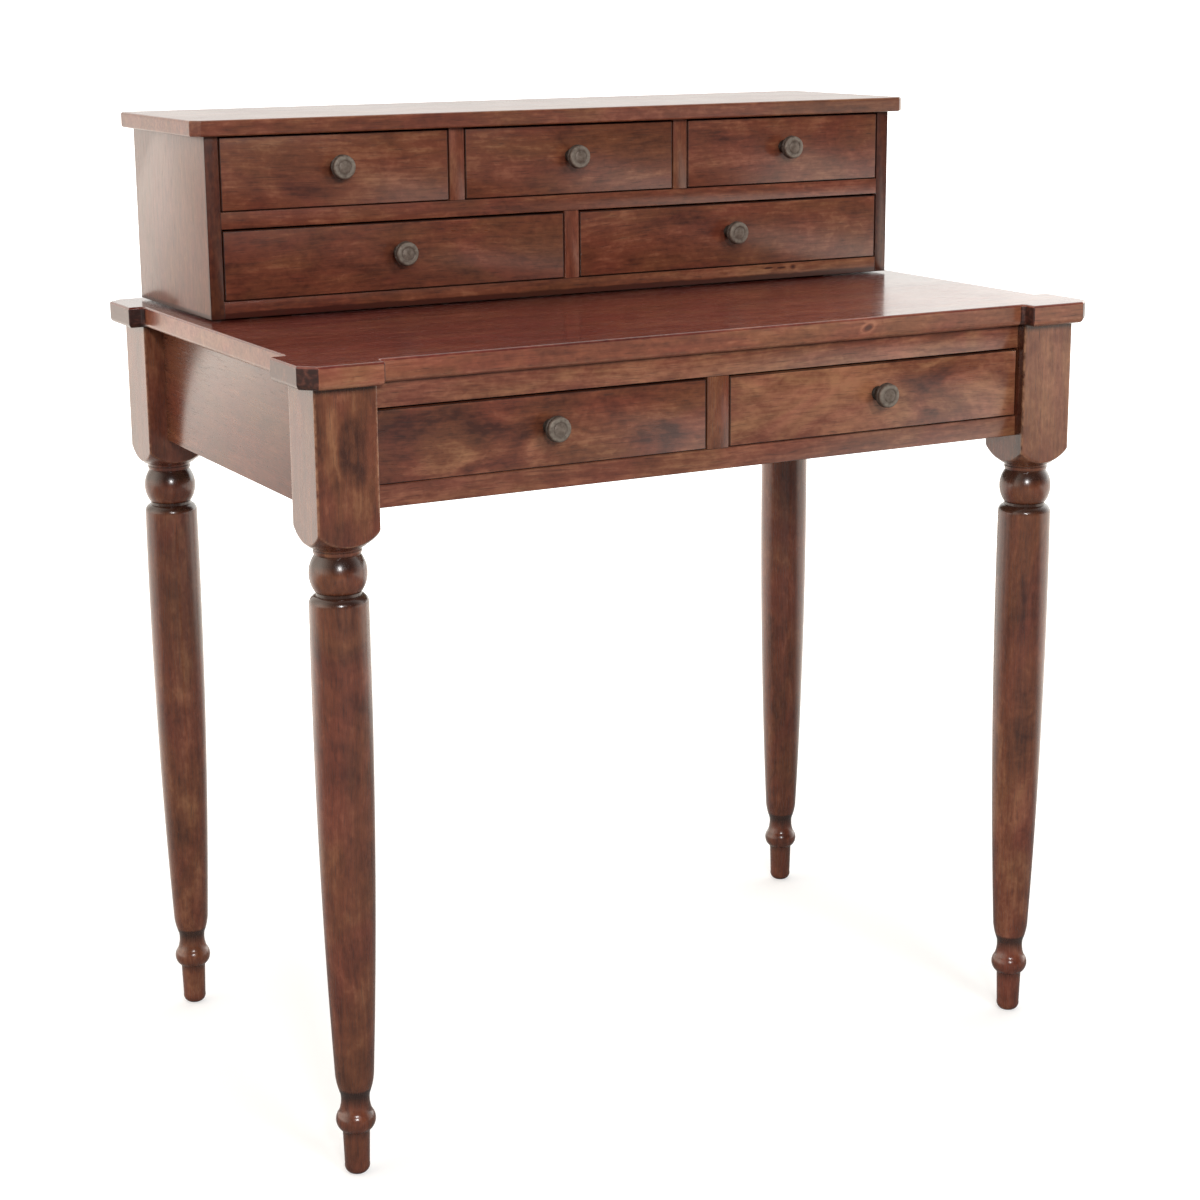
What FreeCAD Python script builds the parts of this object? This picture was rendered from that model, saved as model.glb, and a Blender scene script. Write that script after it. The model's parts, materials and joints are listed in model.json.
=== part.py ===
# Bonheur du jour: a small writing desk on four turned legs, with a low case of
# five drawers standing on the back of its top and two drawers in its front.
#
# Frame: millimetres, +X to the sitter's right, +Y to the back, +Z up. The origin
# is on the floor, under the middle of the desk top. Drawers pull out along -Y.
#
# Every driving size is a named cell of the sheet "Sizes". Each piece is a body of
# its own, and its sketches, features and place are bound to those cells.
import FreeCAD, Part
import math
import os
import Sketcher

SIZES = [
    # the table: leg blocks, top and its ears
    ("desk_height", 780.0),
    ("leg_span_wide", 833.0),
    ("leg_span_deep", 521.0),
    ("block_size", 60.0),
    ("top_thick", 21.5),
    ("ear_overhang", 15.5),
    ("ear_long", 77.5),
    ("ear_step", 16.0),
    ("ear_clip", 14.4),
    ("ear_cove", 4.0),
    ("top_edge_ease", 1.6),
    ("under_edge_ease", 3.0),
    # the turned leg, counted down from the square block
    ("block_tall", 130.0),
    ("shoulder_tall", 15.5),
    ("shoulder_swell", 1.2),
    ("collar_radius", 27.2),
    ("cove_tall", 9.6),
    ("neck_radius", 21.0),
    ("bead_tall", 33.6),
    ("bead_swell", 5.3),
    ("groove_tall", 1.8),
    ("shaft_shoulder_tall", 18.0),
    ("shaft_top_radius", 27.4),
    # the turned leg, counted up from the floor
    ("shaft_swell_tall", 385.0),
    ("shaft_foot_radius", 18.4),
    ("taper_tall", 18.0),
    ("ankle_radius", 14.0),
    ("ankle_tall", 18.0),
    ("ring_top_radius", 15.8),
    ("ring_foot_radius", 13.7),
    ("ring_tall", 19.3),
    ("ring_swell", 4.2),
    ("foot_tall", 43.5),
    ("foot_radius", 12.8),
    # rails and aprons round the table
    ("rail_recess", 11.3),
    ("apron_inset", 19.9),
    ("apron_thick", 20.0),
    ("apron_tall", 120.0),
    ("top_rail_tall", 24.0),
    ("front_opening_tall", 70.0),
    ("bottom_rail_tall", 20.5),
    ("front_divider_wide", 24.0),
    ("tenon_long", 20.0),
    ("tenon_thick", 12.0),
    ("tenon_shoulder", 10.0),
    ("rail_tenon_wide", 24.0),
    ("rail_tenon_shoulder", 4.0),
    ("stub_tenon_tall", 8.0),
    ("joint_gap", 0.2),
    # runners, guides and kickers of the table's drawers
    ("runner_ledge", 22.0),
    ("runner_tall", 20.0),
    ("guide_tall", 26.0),
    # glue blocks that hold the top down
    ("fixing_block_long", 34.0),
    ("fixing_block_size", 18.0),
    ("side_block_place", 110.0),
    ("back_block_place", 190.0),
    # the case of small drawers
    ("case_end_inset", 18.0),
    ("case_back_inset", 1.0),
    ("case_deep", 214.0),
    ("case_tall", 179.0),
    ("case_side_thick", 14.0),
    ("case_board_thick", 16.6),
    ("case_slab_thick", 15.4),
    ("slab_side_overhang", 15.3),
    ("slab_front_overhang", 12.3),
    ("slab_clip", 8.5),
    ("slab_edge_ease", 1.6),
    ("back_panel_thick", 6.0),
    ("back_rabbet", 7.0),
    ("housing_deep", 5.0),
    ("housing_stop", 14.0),
    ("lower_opening_tall", 70.3),
    ("pad_thick", 2.2),
    ("pad_wide", 22.0),
    ("pad_sink", 1.0),
    ("pad_side_inset", 80.0),
    ("pad_front_inset", 32.0),
    ("pad_back_inset", 59.0),
    # drawers
    ("top_reveal", 2.1),
    ("side_reveal", 1.5),
    ("foot_reveal", 0.8),
    ("drawer_side_gap", 1.4),
    ("drawer_floor_gap", 0.3),
    ("desk_front_thick", 19.0),
    ("desk_side_thick", 10.0),
    ("desk_panel_thick", 5.0),
    ("desk_drawer_back_gap", 49.8),
    ("small_front_thick", 16.0),
    ("small_side_thick", 8.0),
    ("small_panel_thick", 4.0),
    ("small_drawer_back_gap", 12.0),
    ("drawer_lip", 6.0),
    ("drawer_side_drop", 6.0),
    ("panel_lift", 7.0),
    ("panel_groove", 4.0),
    ("panel_gap", 0.1),
    # knobs: each sits a little over its drawer's middle, two were set off by hand
    ("knob_lift", 3.0),
    ("knob_centred", 0.0),
    ("desk_left_knob_shift", 3.5),
    ("low_right_knob_shift", -3.5),
    ("knob_neck_radius", 6.0),
    ("knob_neck_long", 13.0),
    ("knob_head_radius", 11.8),
    ("knob_head_long", 9.0),
]

doc = FreeCAD.newDocument("BonheurDuJour")
sheet = doc.addObject("Spreadsheet::Sheet", "Sizes")
for row, (alias, number) in enumerate(SIZES, start=1):
    sheet.set(f"A{row}", alias)
    sheet.set(f"B{row}", str(number))
    sheet.setAlias(f"B{row}", alias)
doc.recompute()

# Places worked out from the sizes. X and Y places are distances from the middle.
HALF_BLOCK = "Sizes.block_size / 2"
LEG_X = "(Sizes.leg_span_wide - Sizes.block_size) / 2"
LEG_Y = "(Sizes.leg_span_deep - Sizes.block_size) / 2"
INNER_X = "(Sizes.leg_span_wide / 2 - Sizes.block_size)"
INNER_Y = "(Sizes.leg_span_deep / 2 - Sizes.block_size)"
TOP_UNDER = "(Sizes.desk_height - Sizes.top_thick)"
RAIL_FACE = "(Sizes.leg_span_deep / 2 - Sizes.rail_recess)"
RAIL_DEEP = "(Sizes.block_size - Sizes.rail_recess)"
APRON_X = "(Sizes.leg_span_wide / 2 - Sizes.apron_inset - Sizes.apron_thick / 2)"
APRON_Y = "(Sizes.leg_span_deep / 2 - Sizes.apron_inset - Sizes.apron_thick / 2)"
APRON_IN_X = f"({APRON_X} - Sizes.apron_thick / 2)"
APRON_IN_Y = f"({APRON_Y} - Sizes.apron_thick / 2)"
OPENING_TOP = f"({TOP_UNDER} - Sizes.top_rail_tall)"
OPENING_FLOOR = f"({OPENING_TOP} - Sizes.front_opening_tall)"
LEDGE_X = f"({INNER_X} - Sizes.runner_ledge)"
CENTRE_LEDGE = "(Sizes.front_divider_wide / 2 + Sizes.runner_ledge)"
CASE_HALF = "(Sizes.leg_span_wide / 2 + Sizes.ear_overhang - Sizes.ear_step - Sizes.case_end_inset)"
CASE_IN = f"({CASE_HALF} - Sizes.case_side_thick)"
CASE_BACK = "(Sizes.leg_span_deep / 2 + Sizes.ear_overhang - Sizes.ear_step - Sizes.case_back_inset)"
CASE_FRONT = f"({CASE_BACK} - Sizes.case_deep)"
CASE_BACK_IN = f"({CASE_BACK} - Sizes.back_panel_thick)"
CASE_IN_DEEP = "(Sizes.case_deep - Sizes.back_panel_thick)"
CASE_FOOT = "(Sizes.desk_height + Sizes.pad_thick)"
SLAB_UNDER = "(Sizes.desk_height + Sizes.case_tall)"
LOWER_FLOOR = f"({CASE_FOOT} + Sizes.case_board_thick)"
LOWER_TOP = f"({LOWER_FLOOR} + Sizes.lower_opening_tall)"
UPPER_FLOOR = f"({LOWER_TOP} + Sizes.case_board_thick)"
UPPER_DIVIDER = f"({CASE_IN} / 3 + Sizes.case_board_thick / 6)"
DESK_DRAWER_LONG = f"({RAIL_FACE} + {APRON_IN_Y} - Sizes.desk_drawer_back_gap)"
SMALL_DRAWER_LONG = f"({CASE_IN_DEEP} - Sizes.small_drawer_back_gap)"
PAD_X = f"({CASE_HALF} - Sizes.pad_side_inset)"
PAD_FRONT = f"({CASE_FRONT} + Sizes.pad_front_inset)"
PAD_BACK = f"({CASE_BACK} - Sizes.pad_back_inset)"
PAD_FOOT = "(Sizes.desk_height - Sizes.pad_sink)"


def value(expression):
    """Number that an expression of sheet sizes stands for."""
    result = sheet.evalExpression(str(expression))
    return float(getattr(result, "Value", result))


def bind(thing, prop, expression):
    """Set one property of a document object to an expression of sheet sizes."""
    thing.setExpression(prop, str(expression))


def new_body(name, place=("0", "0", "0")):
    """Empty body, placed by three expressions."""
    body = doc.addObject("PartDesign::Body", name)
    for axis, expression in zip("xyz", place):
        bind(body, f".Placement.Base.{axis}", expression)
    return body


def new_sketch(body, role, offset="0"):
    """Sketch on one of the body's own origin planes, moved along its normal."""
    sketch = body.newObject("Sketcher::SketchObject", f"{body.Name}_sketch")
    plane = [item for item in body.Origin.OriginFeatures if item.Role == role][0]
    sketch.AttachmentSupport = (plane, [""])
    sketch.MapMode = "FlatFace"
    bind(sketch, ".AttachmentOffset.Base.z", offset)
    return sketch


def draw_outline(sketch, corners):
    """Close a straight-sided outline through corners given as (across, up)."""
    places = [FreeCAD.Vector(value(across), value(up), 0) for across, up in corners]
    count = len(corners)
    for index in range(count):
        sketch.addGeometry(Part.LineSegment(places[index - 1], places[index]))
    for index, corner in enumerate(corners):
        sketch.addConstraint(Sketcher.Constraint("Coincident", index, 2, (index + 1) % count, 1))
        for letter, expression in zip("XY", corner):
            distance = Sketcher.Constraint(f"Distance{letter}", -1, 1, index, 2, value(expression))
            number = sketch.addConstraint(distance)
            sketch.renameConstraint(number, f"corner_{letter}_{index}")
            bind(sketch, f"Constraints.corner_{letter}_{index}", expression)


def curve(foot, head, swell, flats):
    """Corners of a turned curve from foot to head, both (radius, height), without the foot.

    The curve runs in a few flats. Its radius leaves the straight line between the
    ends by swell * 4 t (1 - t), t going from 0 at the foot to 1 at the head.
    """
    corners = []
    for step in range(1, flats):
        share = step / flats
        bulge = 4 * share * (1 - share)
        radius = f"(({foot[0]}) * {1 - share} + ({head[0]}) * {share} + ({swell}) * {bulge})"
        height = f"(({foot[1]}) * {1 - share} + ({head[1]}) * {share})"
        corners.append((radius, height))
    return corners + [head]


def draw_rectangle(sketch, low, high):
    """Rectangle between two corners given as (across, up)."""
    draw_outline(sketch, [(low[0], low[1]), (high[0], low[1]), (high[0], high[1]), (low[0], high[1])])


def pad(body, sketch, length):
    """Raise a sketch along its plane's normal."""
    feature = body.newObject("PartDesign::Pad", f"{body.Name}_pad")
    feature.Profile = sketch
    bind(feature, "Length", length)
    return feature


def pocket(body, sketch, length):
    """Cut a sketch out along its plane's normal, and check that it cut something."""
    doc.recompute()
    before = body.Shape.Volume
    feature = body.newObject("PartDesign::Pocket", f"{body.Name}_pocket")
    feature.Profile = sketch
    feature.Reversed = True
    bind(feature, "Length", length)
    doc.recompute()
    if body.Shape.Volume >= before:
        raise ValueError(f"{feature.Name} removes nothing")
    return feature


def add_block(body, low, high):
    """Rectangular block between two corners (x, y, z) of the body's own frame."""
    sketch = new_sketch(body, "XY_Plane", low[2])
    draw_rectangle(sketch, low[:2], high[:2])
    return pad(body, sketch, f"({high[2]}) - ({low[2]})")


def cut_block(body, low, high):
    """Rectangular cut between two corners (x, y, z) of the body's own frame."""
    sketch = new_sketch(body, "XY_Plane", low[2])
    draw_rectangle(sketch, low[:2], high[:2])
    return pocket(body, sketch, f"({high[2]}) - ({low[2]})")


def dress(body, kind, edges, prop, expression):
    """Fillet or chamfer of edges that a test picks on the body's last feature."""
    doc.recompute()
    base = body.Tip
    names = [f"Edge{number}" for number, edge in enumerate(base.Shape.Edges, start=1) if edges(edge)]
    feature = body.newObject(f"PartDesign::{kind}", f"{body.Name}_{kind.lower()}")
    feature.Base = (base, names)
    bind(feature, prop, expression)
    return feature


def is_upright(edge):
    """True for a straight edge along Z."""
    start, end = edge.Vertexes[0].Point, edge.Vertexes[-1].Point
    return abs(start.x - end.x) + abs(start.y - end.y) < 1e-6 and abs(start.z - end.z) > 1e-6


def lies_at(edge, height):
    """True for an edge that lies in the level plane at one height."""
    box = edge.BoundBox
    return abs(box.ZMin - height) < 1e-6 and abs(box.ZMax - height) < 1e-6


NODES = {}


def keep(label, *pieces):
    """Make one piece, or several alike, the sub-part that is saved under a label."""
    if len(pieces) == 1:
        node = pieces[0]
    else:
        node = doc.addObject("Part::Compound", f"group_{label}")
        node.Links = list(pieces)
    node.Label = label
    NODES[label] = node


def mirrored(expression, sign):
    """Expression for a place left (-1) or right (1), front (-1) or back (1) of the middle."""
    return f"({sign} * ({expression}))"


def span(sign, near, far):
    """Low and high end of a stretch that runs from near to far on one side of the middle."""
    ends = [mirrored(near, sign), mirrored(far, sign)]
    return ends if value(ends[0]) < value(ends[1]) else ends[::-1]


# ---------------------------------------------------------------- legs


def turned_outline():
    """Outline of the wood that the lathe takes away, from the floor up to the block."""
    ring_foot = "Sizes.foot_tall"
    ring_top = f"({ring_foot} + Sizes.ring_tall)"
    ankle_top = f"({ring_top} + Sizes.ankle_tall)"
    shaft_foot = f"({ankle_top} + Sizes.taper_tall)"
    block_foot = f"({TOP_UNDER} - Sizes.block_tall)"
    shoulder_foot = f"({block_foot} - Sizes.shoulder_tall)"
    bead_top = f"({shoulder_foot} - Sizes.cove_tall)"
    bead_foot = f"({bead_top} - Sizes.bead_tall)"
    groove_foot = f"({bead_foot} - Sizes.groove_tall)"
    shaft_top = f"({groove_foot} - Sizes.shaft_shoulder_tall)"
    corner = "(Sizes.block_size * sqrt(2) / 2)"
    clear = f"({corner} + 4)"
    ring_low = ("Sizes.ring_foot_radius", ring_foot)
    ring_high = ("Sizes.ring_top_radius", ring_top)
    bead_low = ("Sizes.neck_radius", bead_foot)
    bead_high = ("Sizes.neck_radius", bead_top)
    shoulder = ("Sizes.collar_radius", shoulder_foot)
    return [
        ("Sizes.foot_radius", "-1"),
        ("Sizes.foot_radius", ring_foot),
        ring_low,
        *curve(ring_low, ring_high, "Sizes.ring_swell", 2),
        ("Sizes.ankle_radius", ankle_top),
        ("Sizes.shaft_foot_radius", shaft_foot),
        ("Sizes.shaft_top_radius", "Sizes.shaft_swell_tall"),
        ("Sizes.shaft_top_radius", shaft_top),
        ("Sizes.neck_radius", groove_foot),
        bead_low,
        *curve(bead_low, bead_high, "Sizes.bead_swell", 3),
        shoulder,
        *curve(shoulder, (corner, block_foot), "Sizes.shoulder_swell", 2),
        (clear, block_foot),
        (clear, "-1"),
    ]


def make_leg(label, side, end):
    """Leg turned from square stock, with mortises for the rails and aprons it meets.

    side is -1 left or 1 right, end is -1 front or 1 back. The leg's own frame
    stands on the floor at the axis of its turning.
    """
    leg = new_body(label, (mirrored(LEG_X, side), mirrored(LEG_Y, end), "0"))
    low = (f"-{HALF_BLOCK}", f"-{HALF_BLOCK}", "0")
    add_block(leg, low, (HALF_BLOCK, HALF_BLOCK, TOP_UNDER))
    doc.recompute()
    stock = leg.Shape.Volume
    sketch = new_sketch(leg, "XZ_Plane")
    draw_outline(sketch, turned_outline())
    turning = leg.newObject("PartDesign::Groove", f"{label}_turning")
    turning.Profile = sketch
    turning.ReferenceAxis = (sketch, ["V_Axis"])
    turning.Angle = 360
    doc.recompute()
    if leg.Shape.Volume >= stock:
        raise ValueError(f"{label} isn't turned")
    cut_side_mortise(leg, side, end)
    if end < 0:
        cut_rail_mortises(leg, side)
    else:
        cut_back_mortise(leg, side)
    keep(label, leg)


def cut_side_mortise(leg, side, end):
    """Mortise for the side apron, in the face that looks along the side."""
    reach = "(Sizes.block_size / 2 - Sizes.tenon_long - Sizes.joint_gap)"
    middle = mirrored("Sizes.block_size / 2 - Sizes.apron_inset - Sizes.apron_thick / 2", side)
    half = "(Sizes.tenon_thick / 2 + Sizes.joint_gap)"
    deep = span(-end, reach, HALF_BLOCK)
    low = (f"{middle} - {half}", deep[0], APRON_TENON_LOW)
    high = (f"{middle} + {half}", deep[1], APRON_TENON_HIGH)
    cut_block(leg, low, high)


def cut_back_mortise(leg, side):
    """Mortise for the back apron, in the face that looks across the desk."""
    reach = "(Sizes.block_size / 2 - Sizes.tenon_long - Sizes.joint_gap)"
    middle = "(Sizes.block_size / 2 - Sizes.apron_inset - Sizes.apron_thick / 2)"
    half = "(Sizes.tenon_thick / 2 + Sizes.joint_gap)"
    wide = span(-side, reach, HALF_BLOCK)
    low = (wide[0], f"{middle} - {half}", APRON_TENON_LOW)
    high = (wide[1], f"{middle} + {half}", APRON_TENON_HIGH)
    cut_block(leg, low, high)


def cut_rail_mortises(leg, side):
    """Mortises for the two front rails, one above and one below the drawer."""
    reach = "(Sizes.block_size / 2 - Sizes.tenon_long - Sizes.joint_gap)"
    middle = "(Sizes.rail_recess / 2)"
    half = "(Sizes.rail_tenon_wide / 2 + Sizes.joint_gap)"
    wide = span(-side, reach, HALF_BLOCK)
    inset = "Sizes.rail_tenon_shoulder - Sizes.joint_gap"
    rails = [(OPENING_TOP, TOP_UNDER), (f"({OPENING_FLOOR} - Sizes.bottom_rail_tall)", OPENING_FLOOR)]
    for foot, head in rails:
        low = (wide[0], f"{middle} - {half}", f"{foot} + {inset}")
        high = (wide[1], f"{middle} + {half}", f"{head} - ({inset})")
        cut_block(leg, low, high)


APRON_FOOT = f"({TOP_UNDER} - Sizes.apron_tall)"
APRON_TENON_LOW = f"({APRON_FOOT} + Sizes.tenon_shoulder - Sizes.joint_gap)"
APRON_TENON_HIGH = f"({TOP_UNDER} - Sizes.tenon_shoulder + Sizes.joint_gap)"

for side, side_name in ((-1, "left"), (1, "right")):
    for end, end_name in ((-1, "front"), (1, "back")):
        make_leg(f"leg_{end_name}_{side_name}", side, end)


# ---------------------------------------------------------------- table top


def pad_places():
    """Centres (x, y) of the four pads that the case stands on."""
    places = []
    for side in (-1, 1):
        for depth in (PAD_FRONT, PAD_BACK):
            places.append((mirrored(PAD_X, side), depth))
    return places


def pad_square(x, y):
    """Low and high corners (x, y) of the square that a pad takes up."""
    low = (f"{x} - Sizes.pad_wide / 2", f"{y} - Sizes.pad_wide / 2")
    high = (f"{x} + Sizes.pad_wide / 2", f"{y} + Sizes.pad_wide / 2")
    return low, high


def make_desk_top():
    """Slab with an ear over each leg, cut back between the ears on all four sides."""
    half_wide = "(Sizes.leg_span_wide / 2 + Sizes.ear_overhang)"
    half_deep = "(Sizes.leg_span_deep / 2 + Sizes.ear_overhang)"
    top = new_body("desk_top", ("0", "0", TOP_UNDER))
    low = (f"-{half_wide}", f"-{half_deep}", "0")
    add_block(top, low, (half_wide, half_deep, "Sizes.top_thick"))
    dress(top, "Chamfer", is_upright, "Size", "Sizes.ear_clip")
    for sign in (-1, 1):
        notch_x = f"({half_wide} - Sizes.ear_long)"
        notch_y = span(sign, f"{half_deep} - Sizes.ear_step", f"{half_deep} + 1")
        cut_block(top, (f"-{notch_x}", notch_y[0], "0"), (notch_x, notch_y[1], "Sizes.top_thick"))
        notch_y = f"({half_deep} - Sizes.ear_long)"
        notch_x = span(sign, f"{half_wide} - Sizes.ear_step", f"{half_wide} + 1")
        cut_block(top, (notch_x[0], f"-{notch_y}", "0"), (notch_x[1], notch_y, "Sizes.top_thick"))
    inner_x = value(half_wide) - value("Sizes.ear_step")
    inner_y = value(half_deep) - value("Sizes.ear_step")

    def in_step(edge):
        """Upright edge in the corner between an ear and the edge beside it."""
        if not is_upright(edge):
            return False
        place = edge.Vertexes[0].Point
        on_side = abs(abs(place.x) - inner_x) < 1e-6 and abs(place.y) < inner_y
        on_end = abs(abs(place.y) - inner_y) < 1e-6 and abs(place.x) < inner_x
        return on_side or on_end

    dress(top, "Fillet", in_step, "Radius", "Sizes.ear_cove")
    thick = value("Sizes.top_thick")
    dress(top, "Chamfer", lambda edge: lies_at(edge, thick), "Size", "Sizes.top_edge_ease")
    dress(top, "Chamfer", lambda edge: lies_at(edge, 0), "Size", "Sizes.under_edge_ease")
    for x, y in pad_places():
        low, high = pad_square(x, y)
        cut_block(top, low + ("Sizes.top_thick - Sizes.pad_sink",), high + ("Sizes.top_thick + 1",))
    keep("desk_top", top)


def fixing_places():
    """Centres (x, y) of the six glue blocks that hold the table top down."""
    side_x = f"({APRON_IN_X} - Sizes.fixing_block_size / 2)"
    back_y = f"({APRON_IN_Y} - Sizes.fixing_block_size / 2)"
    places = []
    for side in (-1, 1):
        for end in (-1, 1):
            places.append((mirrored(side_x, side), mirrored("Sizes.side_block_place", end)))
        places.append((mirrored("Sizes.back_block_place", side), back_y))
    return places


# ---------------------------------------------------------------- rails and aprons


def make_side_apron(label, side):
    """Board between a front and a back leg, tenoned into both."""
    apron = new_body(label, (mirrored(APRON_X, side), "0", APRON_FOOT))
    half = "(Sizes.apron_thick / 2)"
    add_block(apron, (f"-{half}", f"-{INNER_Y}", "0"), (half, INNER_Y, "Sizes.apron_tall"))
    half = "(Sizes.tenon_thick / 2)"
    for end in (-1, 1):
        deep = span(end, f"{INNER_Y} - 1", f"{INNER_Y} + Sizes.tenon_long")
        low = (f"-{half}", deep[0], "Sizes.tenon_shoulder")
        add_block(apron, low, (half, deep[1], "Sizes.apron_tall - Sizes.tenon_shoulder"))
    keep(label, apron)


def make_back_apron():
    """Board between the two back legs, tenoned into both."""
    apron = new_body("back_apron", ("0", APRON_Y, APRON_FOOT))
    half = "(Sizes.apron_thick / 2)"
    add_block(apron, (f"-{INNER_X}", f"-{half}", "0"), (INNER_X, half, "Sizes.apron_tall"))
    half = "(Sizes.tenon_thick / 2)"
    for side in (-1, 1):
        wide = span(side, f"{INNER_X} - 1", f"{INNER_X} + Sizes.tenon_long")
        low = (wide[0], f"-{half}", "Sizes.tenon_shoulder")
        add_block(apron, low, (wide[1], half, "Sizes.apron_tall - Sizes.tenon_shoulder"))
    keep("back_apron", apron)


def make_front_rail(label, foot, tall, stub_from, stub_to):
    """Rail laid flat between the front legs, with a mortise for the divider's stub."""
    rail = new_body(label, ("0", f"-{RAIL_FACE}", foot))
    add_block(rail, (f"-{INNER_X}", "0", "0"), (INNER_X, RAIL_DEEP, tall))
    middle = f"({RAIL_FACE} - {LEG_Y} + Sizes.rail_recess / 2)"
    half = "(Sizes.rail_tenon_wide / 2)"
    for side in (-1, 1):
        wide = span(side, f"{INNER_X} - 1", f"{INNER_X} + Sizes.tenon_long")
        low = (wide[0], f"{middle} - {half}", "Sizes.rail_tenon_shoulder")
        add_block(rail, low, (wide[1], f"{middle} + {half}", f"{tall} - Sizes.rail_tenon_shoulder"))
    stub = "(Sizes.front_divider_wide / 4 + Sizes.joint_gap)"
    low = (f"-{stub}", f"{middle} - {half} - Sizes.joint_gap", stub_from)
    cut_block(rail, low, (stub, f"{middle} + {half} + Sizes.joint_gap", stub_to))
    keep(label, rail)


def make_front_divider():
    """Upright between the two table drawers, stub-tenoned into both rails."""
    divider = new_body("front_divider", ("0", f"-{RAIL_FACE}", OPENING_FLOOR))
    half = "(Sizes.front_divider_wide / 2)"
    add_block(divider, (f"-{half}", "0", "0"), (half, RAIL_DEEP, "Sizes.front_opening_tall"))
    middle = f"({RAIL_FACE} - {LEG_Y} + Sizes.rail_recess / 2)"
    deep = "(Sizes.rail_tenon_wide / 2)"
    half = "(Sizes.front_divider_wide / 4)"
    low = (f"-{half}", f"{middle} - {deep}", "-Sizes.stub_tenon_tall")
    add_block(divider, low, (half, f"{middle} + {deep}", "Sizes.front_opening_tall + Sizes.stub_tenon_tall"))
    keep("front_divider", divider)


# ---------------------------------------------------------------- inside the table


def make_strip(name, low_x, high_x, foot, head):
    """Straight strip from the front rails back to the back apron."""
    strip = new_body(name, ("0", "0", foot))
    add_block(strip, (low_x, f"-{INNER_Y}", "0"), (high_x, APRON_IN_Y, f"({head}) - ({foot})"))
    return strip


def make_runners():
    """Runner with its guide for each drawer side, and the kickers above them."""
    runner_foot = f"({OPENING_FLOOR} - Sizes.runner_tall)"
    guide_head = f"({OPENING_FLOOR} + Sizes.guide_tall)"
    for side, name in ((-1, "left"), (1, "right")):
        wide = span(side, LEDGE_X, INNER_X)
        ledge = make_strip(f"runner_strip_{name}", wide[0], wide[1], runner_foot, OPENING_FLOOR)
        wide = span(side, f"{INNER_X} - 1", APRON_IN_X)
        bearer_low = (wide[0], f"-{INNER_Y}", "0")
        add_block(ledge, bearer_low, (wide[1], INNER_Y, "Sizes.runner_tall"))
        guide = new_body(f"guide_strip_{name}", ("0", "0", OPENING_FLOOR))
        wide = span(side, INNER_X, APRON_IN_X)
        add_block(guide, (wide[0], f"-{INNER_Y}", "0"), (wide[1], INNER_Y, "Sizes.guide_tall"))
        keep(f"runner_{name}", ledge, guide)
        wide = span(side, LEDGE_X, INNER_X)
        keep(f"kicker_{name}", make_strip(f"kicker_{name}", wide[0], wide[1], OPENING_TOP, TOP_UNDER))
    ledge = make_strip("runner_strip_centre", f"-{CENTRE_LEDGE}", CENTRE_LEDGE, runner_foot, OPENING_FLOOR)
    half = "Sizes.front_divider_wide / 2"
    guide = make_strip("guide_strip_centre", f"-{half}", half, OPENING_FLOOR, guide_head)
    keep("runner_centre", ledge, guide)
    kicker = make_strip("kicker_centre", f"-{CENTRE_LEDGE}", CENTRE_LEDGE, OPENING_TOP, TOP_UNDER)
    keep("kicker_centre", kicker)


def make_top_fixings():
    """Glue blocks in the corner between the aprons and the underside of the top."""
    blocks = []
    foot = f"({TOP_UNDER} - Sizes.fixing_block_size)"
    half = "(Sizes.fixing_block_size / 2)"
    long_half = "(Sizes.fixing_block_long / 2)"
    for number, (x, y) in enumerate(fixing_places()):
        along_back = number % 3 == 2
        half_x = long_half if along_back else half
        half_y = half if along_back else long_half
        block = new_body(f"fixing_block_{number}", (x, y, foot))
        add_block(block, (f"-{half_x}", f"-{half_y}", "0"), (half_x, half_y, "Sizes.fixing_block_size"))
        blocks.append(block)
    keep("top_fixing_blocks", *blocks)


# ---------------------------------------------------------------- the case


def make_case_side(label, side):
    """Upright side with housings for the floor and shelf and a rabbet for the back."""
    board = new_body(label, (mirrored(CASE_HALF, side), CASE_FRONT, CASE_FOOT))
    tall = f"({SLAB_UNDER} - {CASE_FOOT})"
    wide = span(-side, "0", "Sizes.case_side_thick")
    add_block(board, (wide[0], "0", "0"), (wide[1], "Sizes.case_deep", tall))
    cut = span(-side, "Sizes.case_side_thick - Sizes.back_rabbet", "Sizes.case_side_thick + 1")
    cut_block(board, (cut[0], CASE_IN_DEEP, "0"), (cut[1], "Sizes.case_deep + 1", tall))
    cut = span(-side, "Sizes.case_side_thick - Sizes.housing_deep - Sizes.joint_gap",
               "Sizes.case_side_thick + 1")
    for foot in ("0", f"({LOWER_TOP} - {CASE_FOOT})"):
        head = f"{foot} + Sizes.case_board_thick"
        front = "Sizes.housing_stop - Sizes.joint_gap"
        cut_block(board, (cut[0], front, foot), (cut[1], "Sizes.case_deep + 1", head))
    keep(label, board)


def make_case_shelf(label, foot):
    """Floor or shelf of the case, let into stopped housings in both sides."""
    shelf = new_body(label, ("0", CASE_FRONT, foot))
    add_block(shelf, (f"-{CASE_IN}", "0", "0"), (CASE_IN, CASE_IN_DEEP, "Sizes.case_board_thick"))
    reach = f"({CASE_IN} + Sizes.housing_deep)"
    low = (f"-{reach}", "Sizes.housing_stop", "0")
    add_block(shelf, low, (reach, CASE_IN_DEEP, "Sizes.case_board_thick"))
    keep(label, shelf)


def make_case_divider(label, place, foot, head):
    """Upright between two small drawers, from the shelf below to the board above."""
    divider = new_body(label, (place, CASE_FRONT, foot))
    half = "(Sizes.case_board_thick / 2)"
    add_block(divider, (f"-{half}", "0", "0"), (half, CASE_IN_DEEP, f"({head}) - ({foot})"))
    keep(label, divider)


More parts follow.
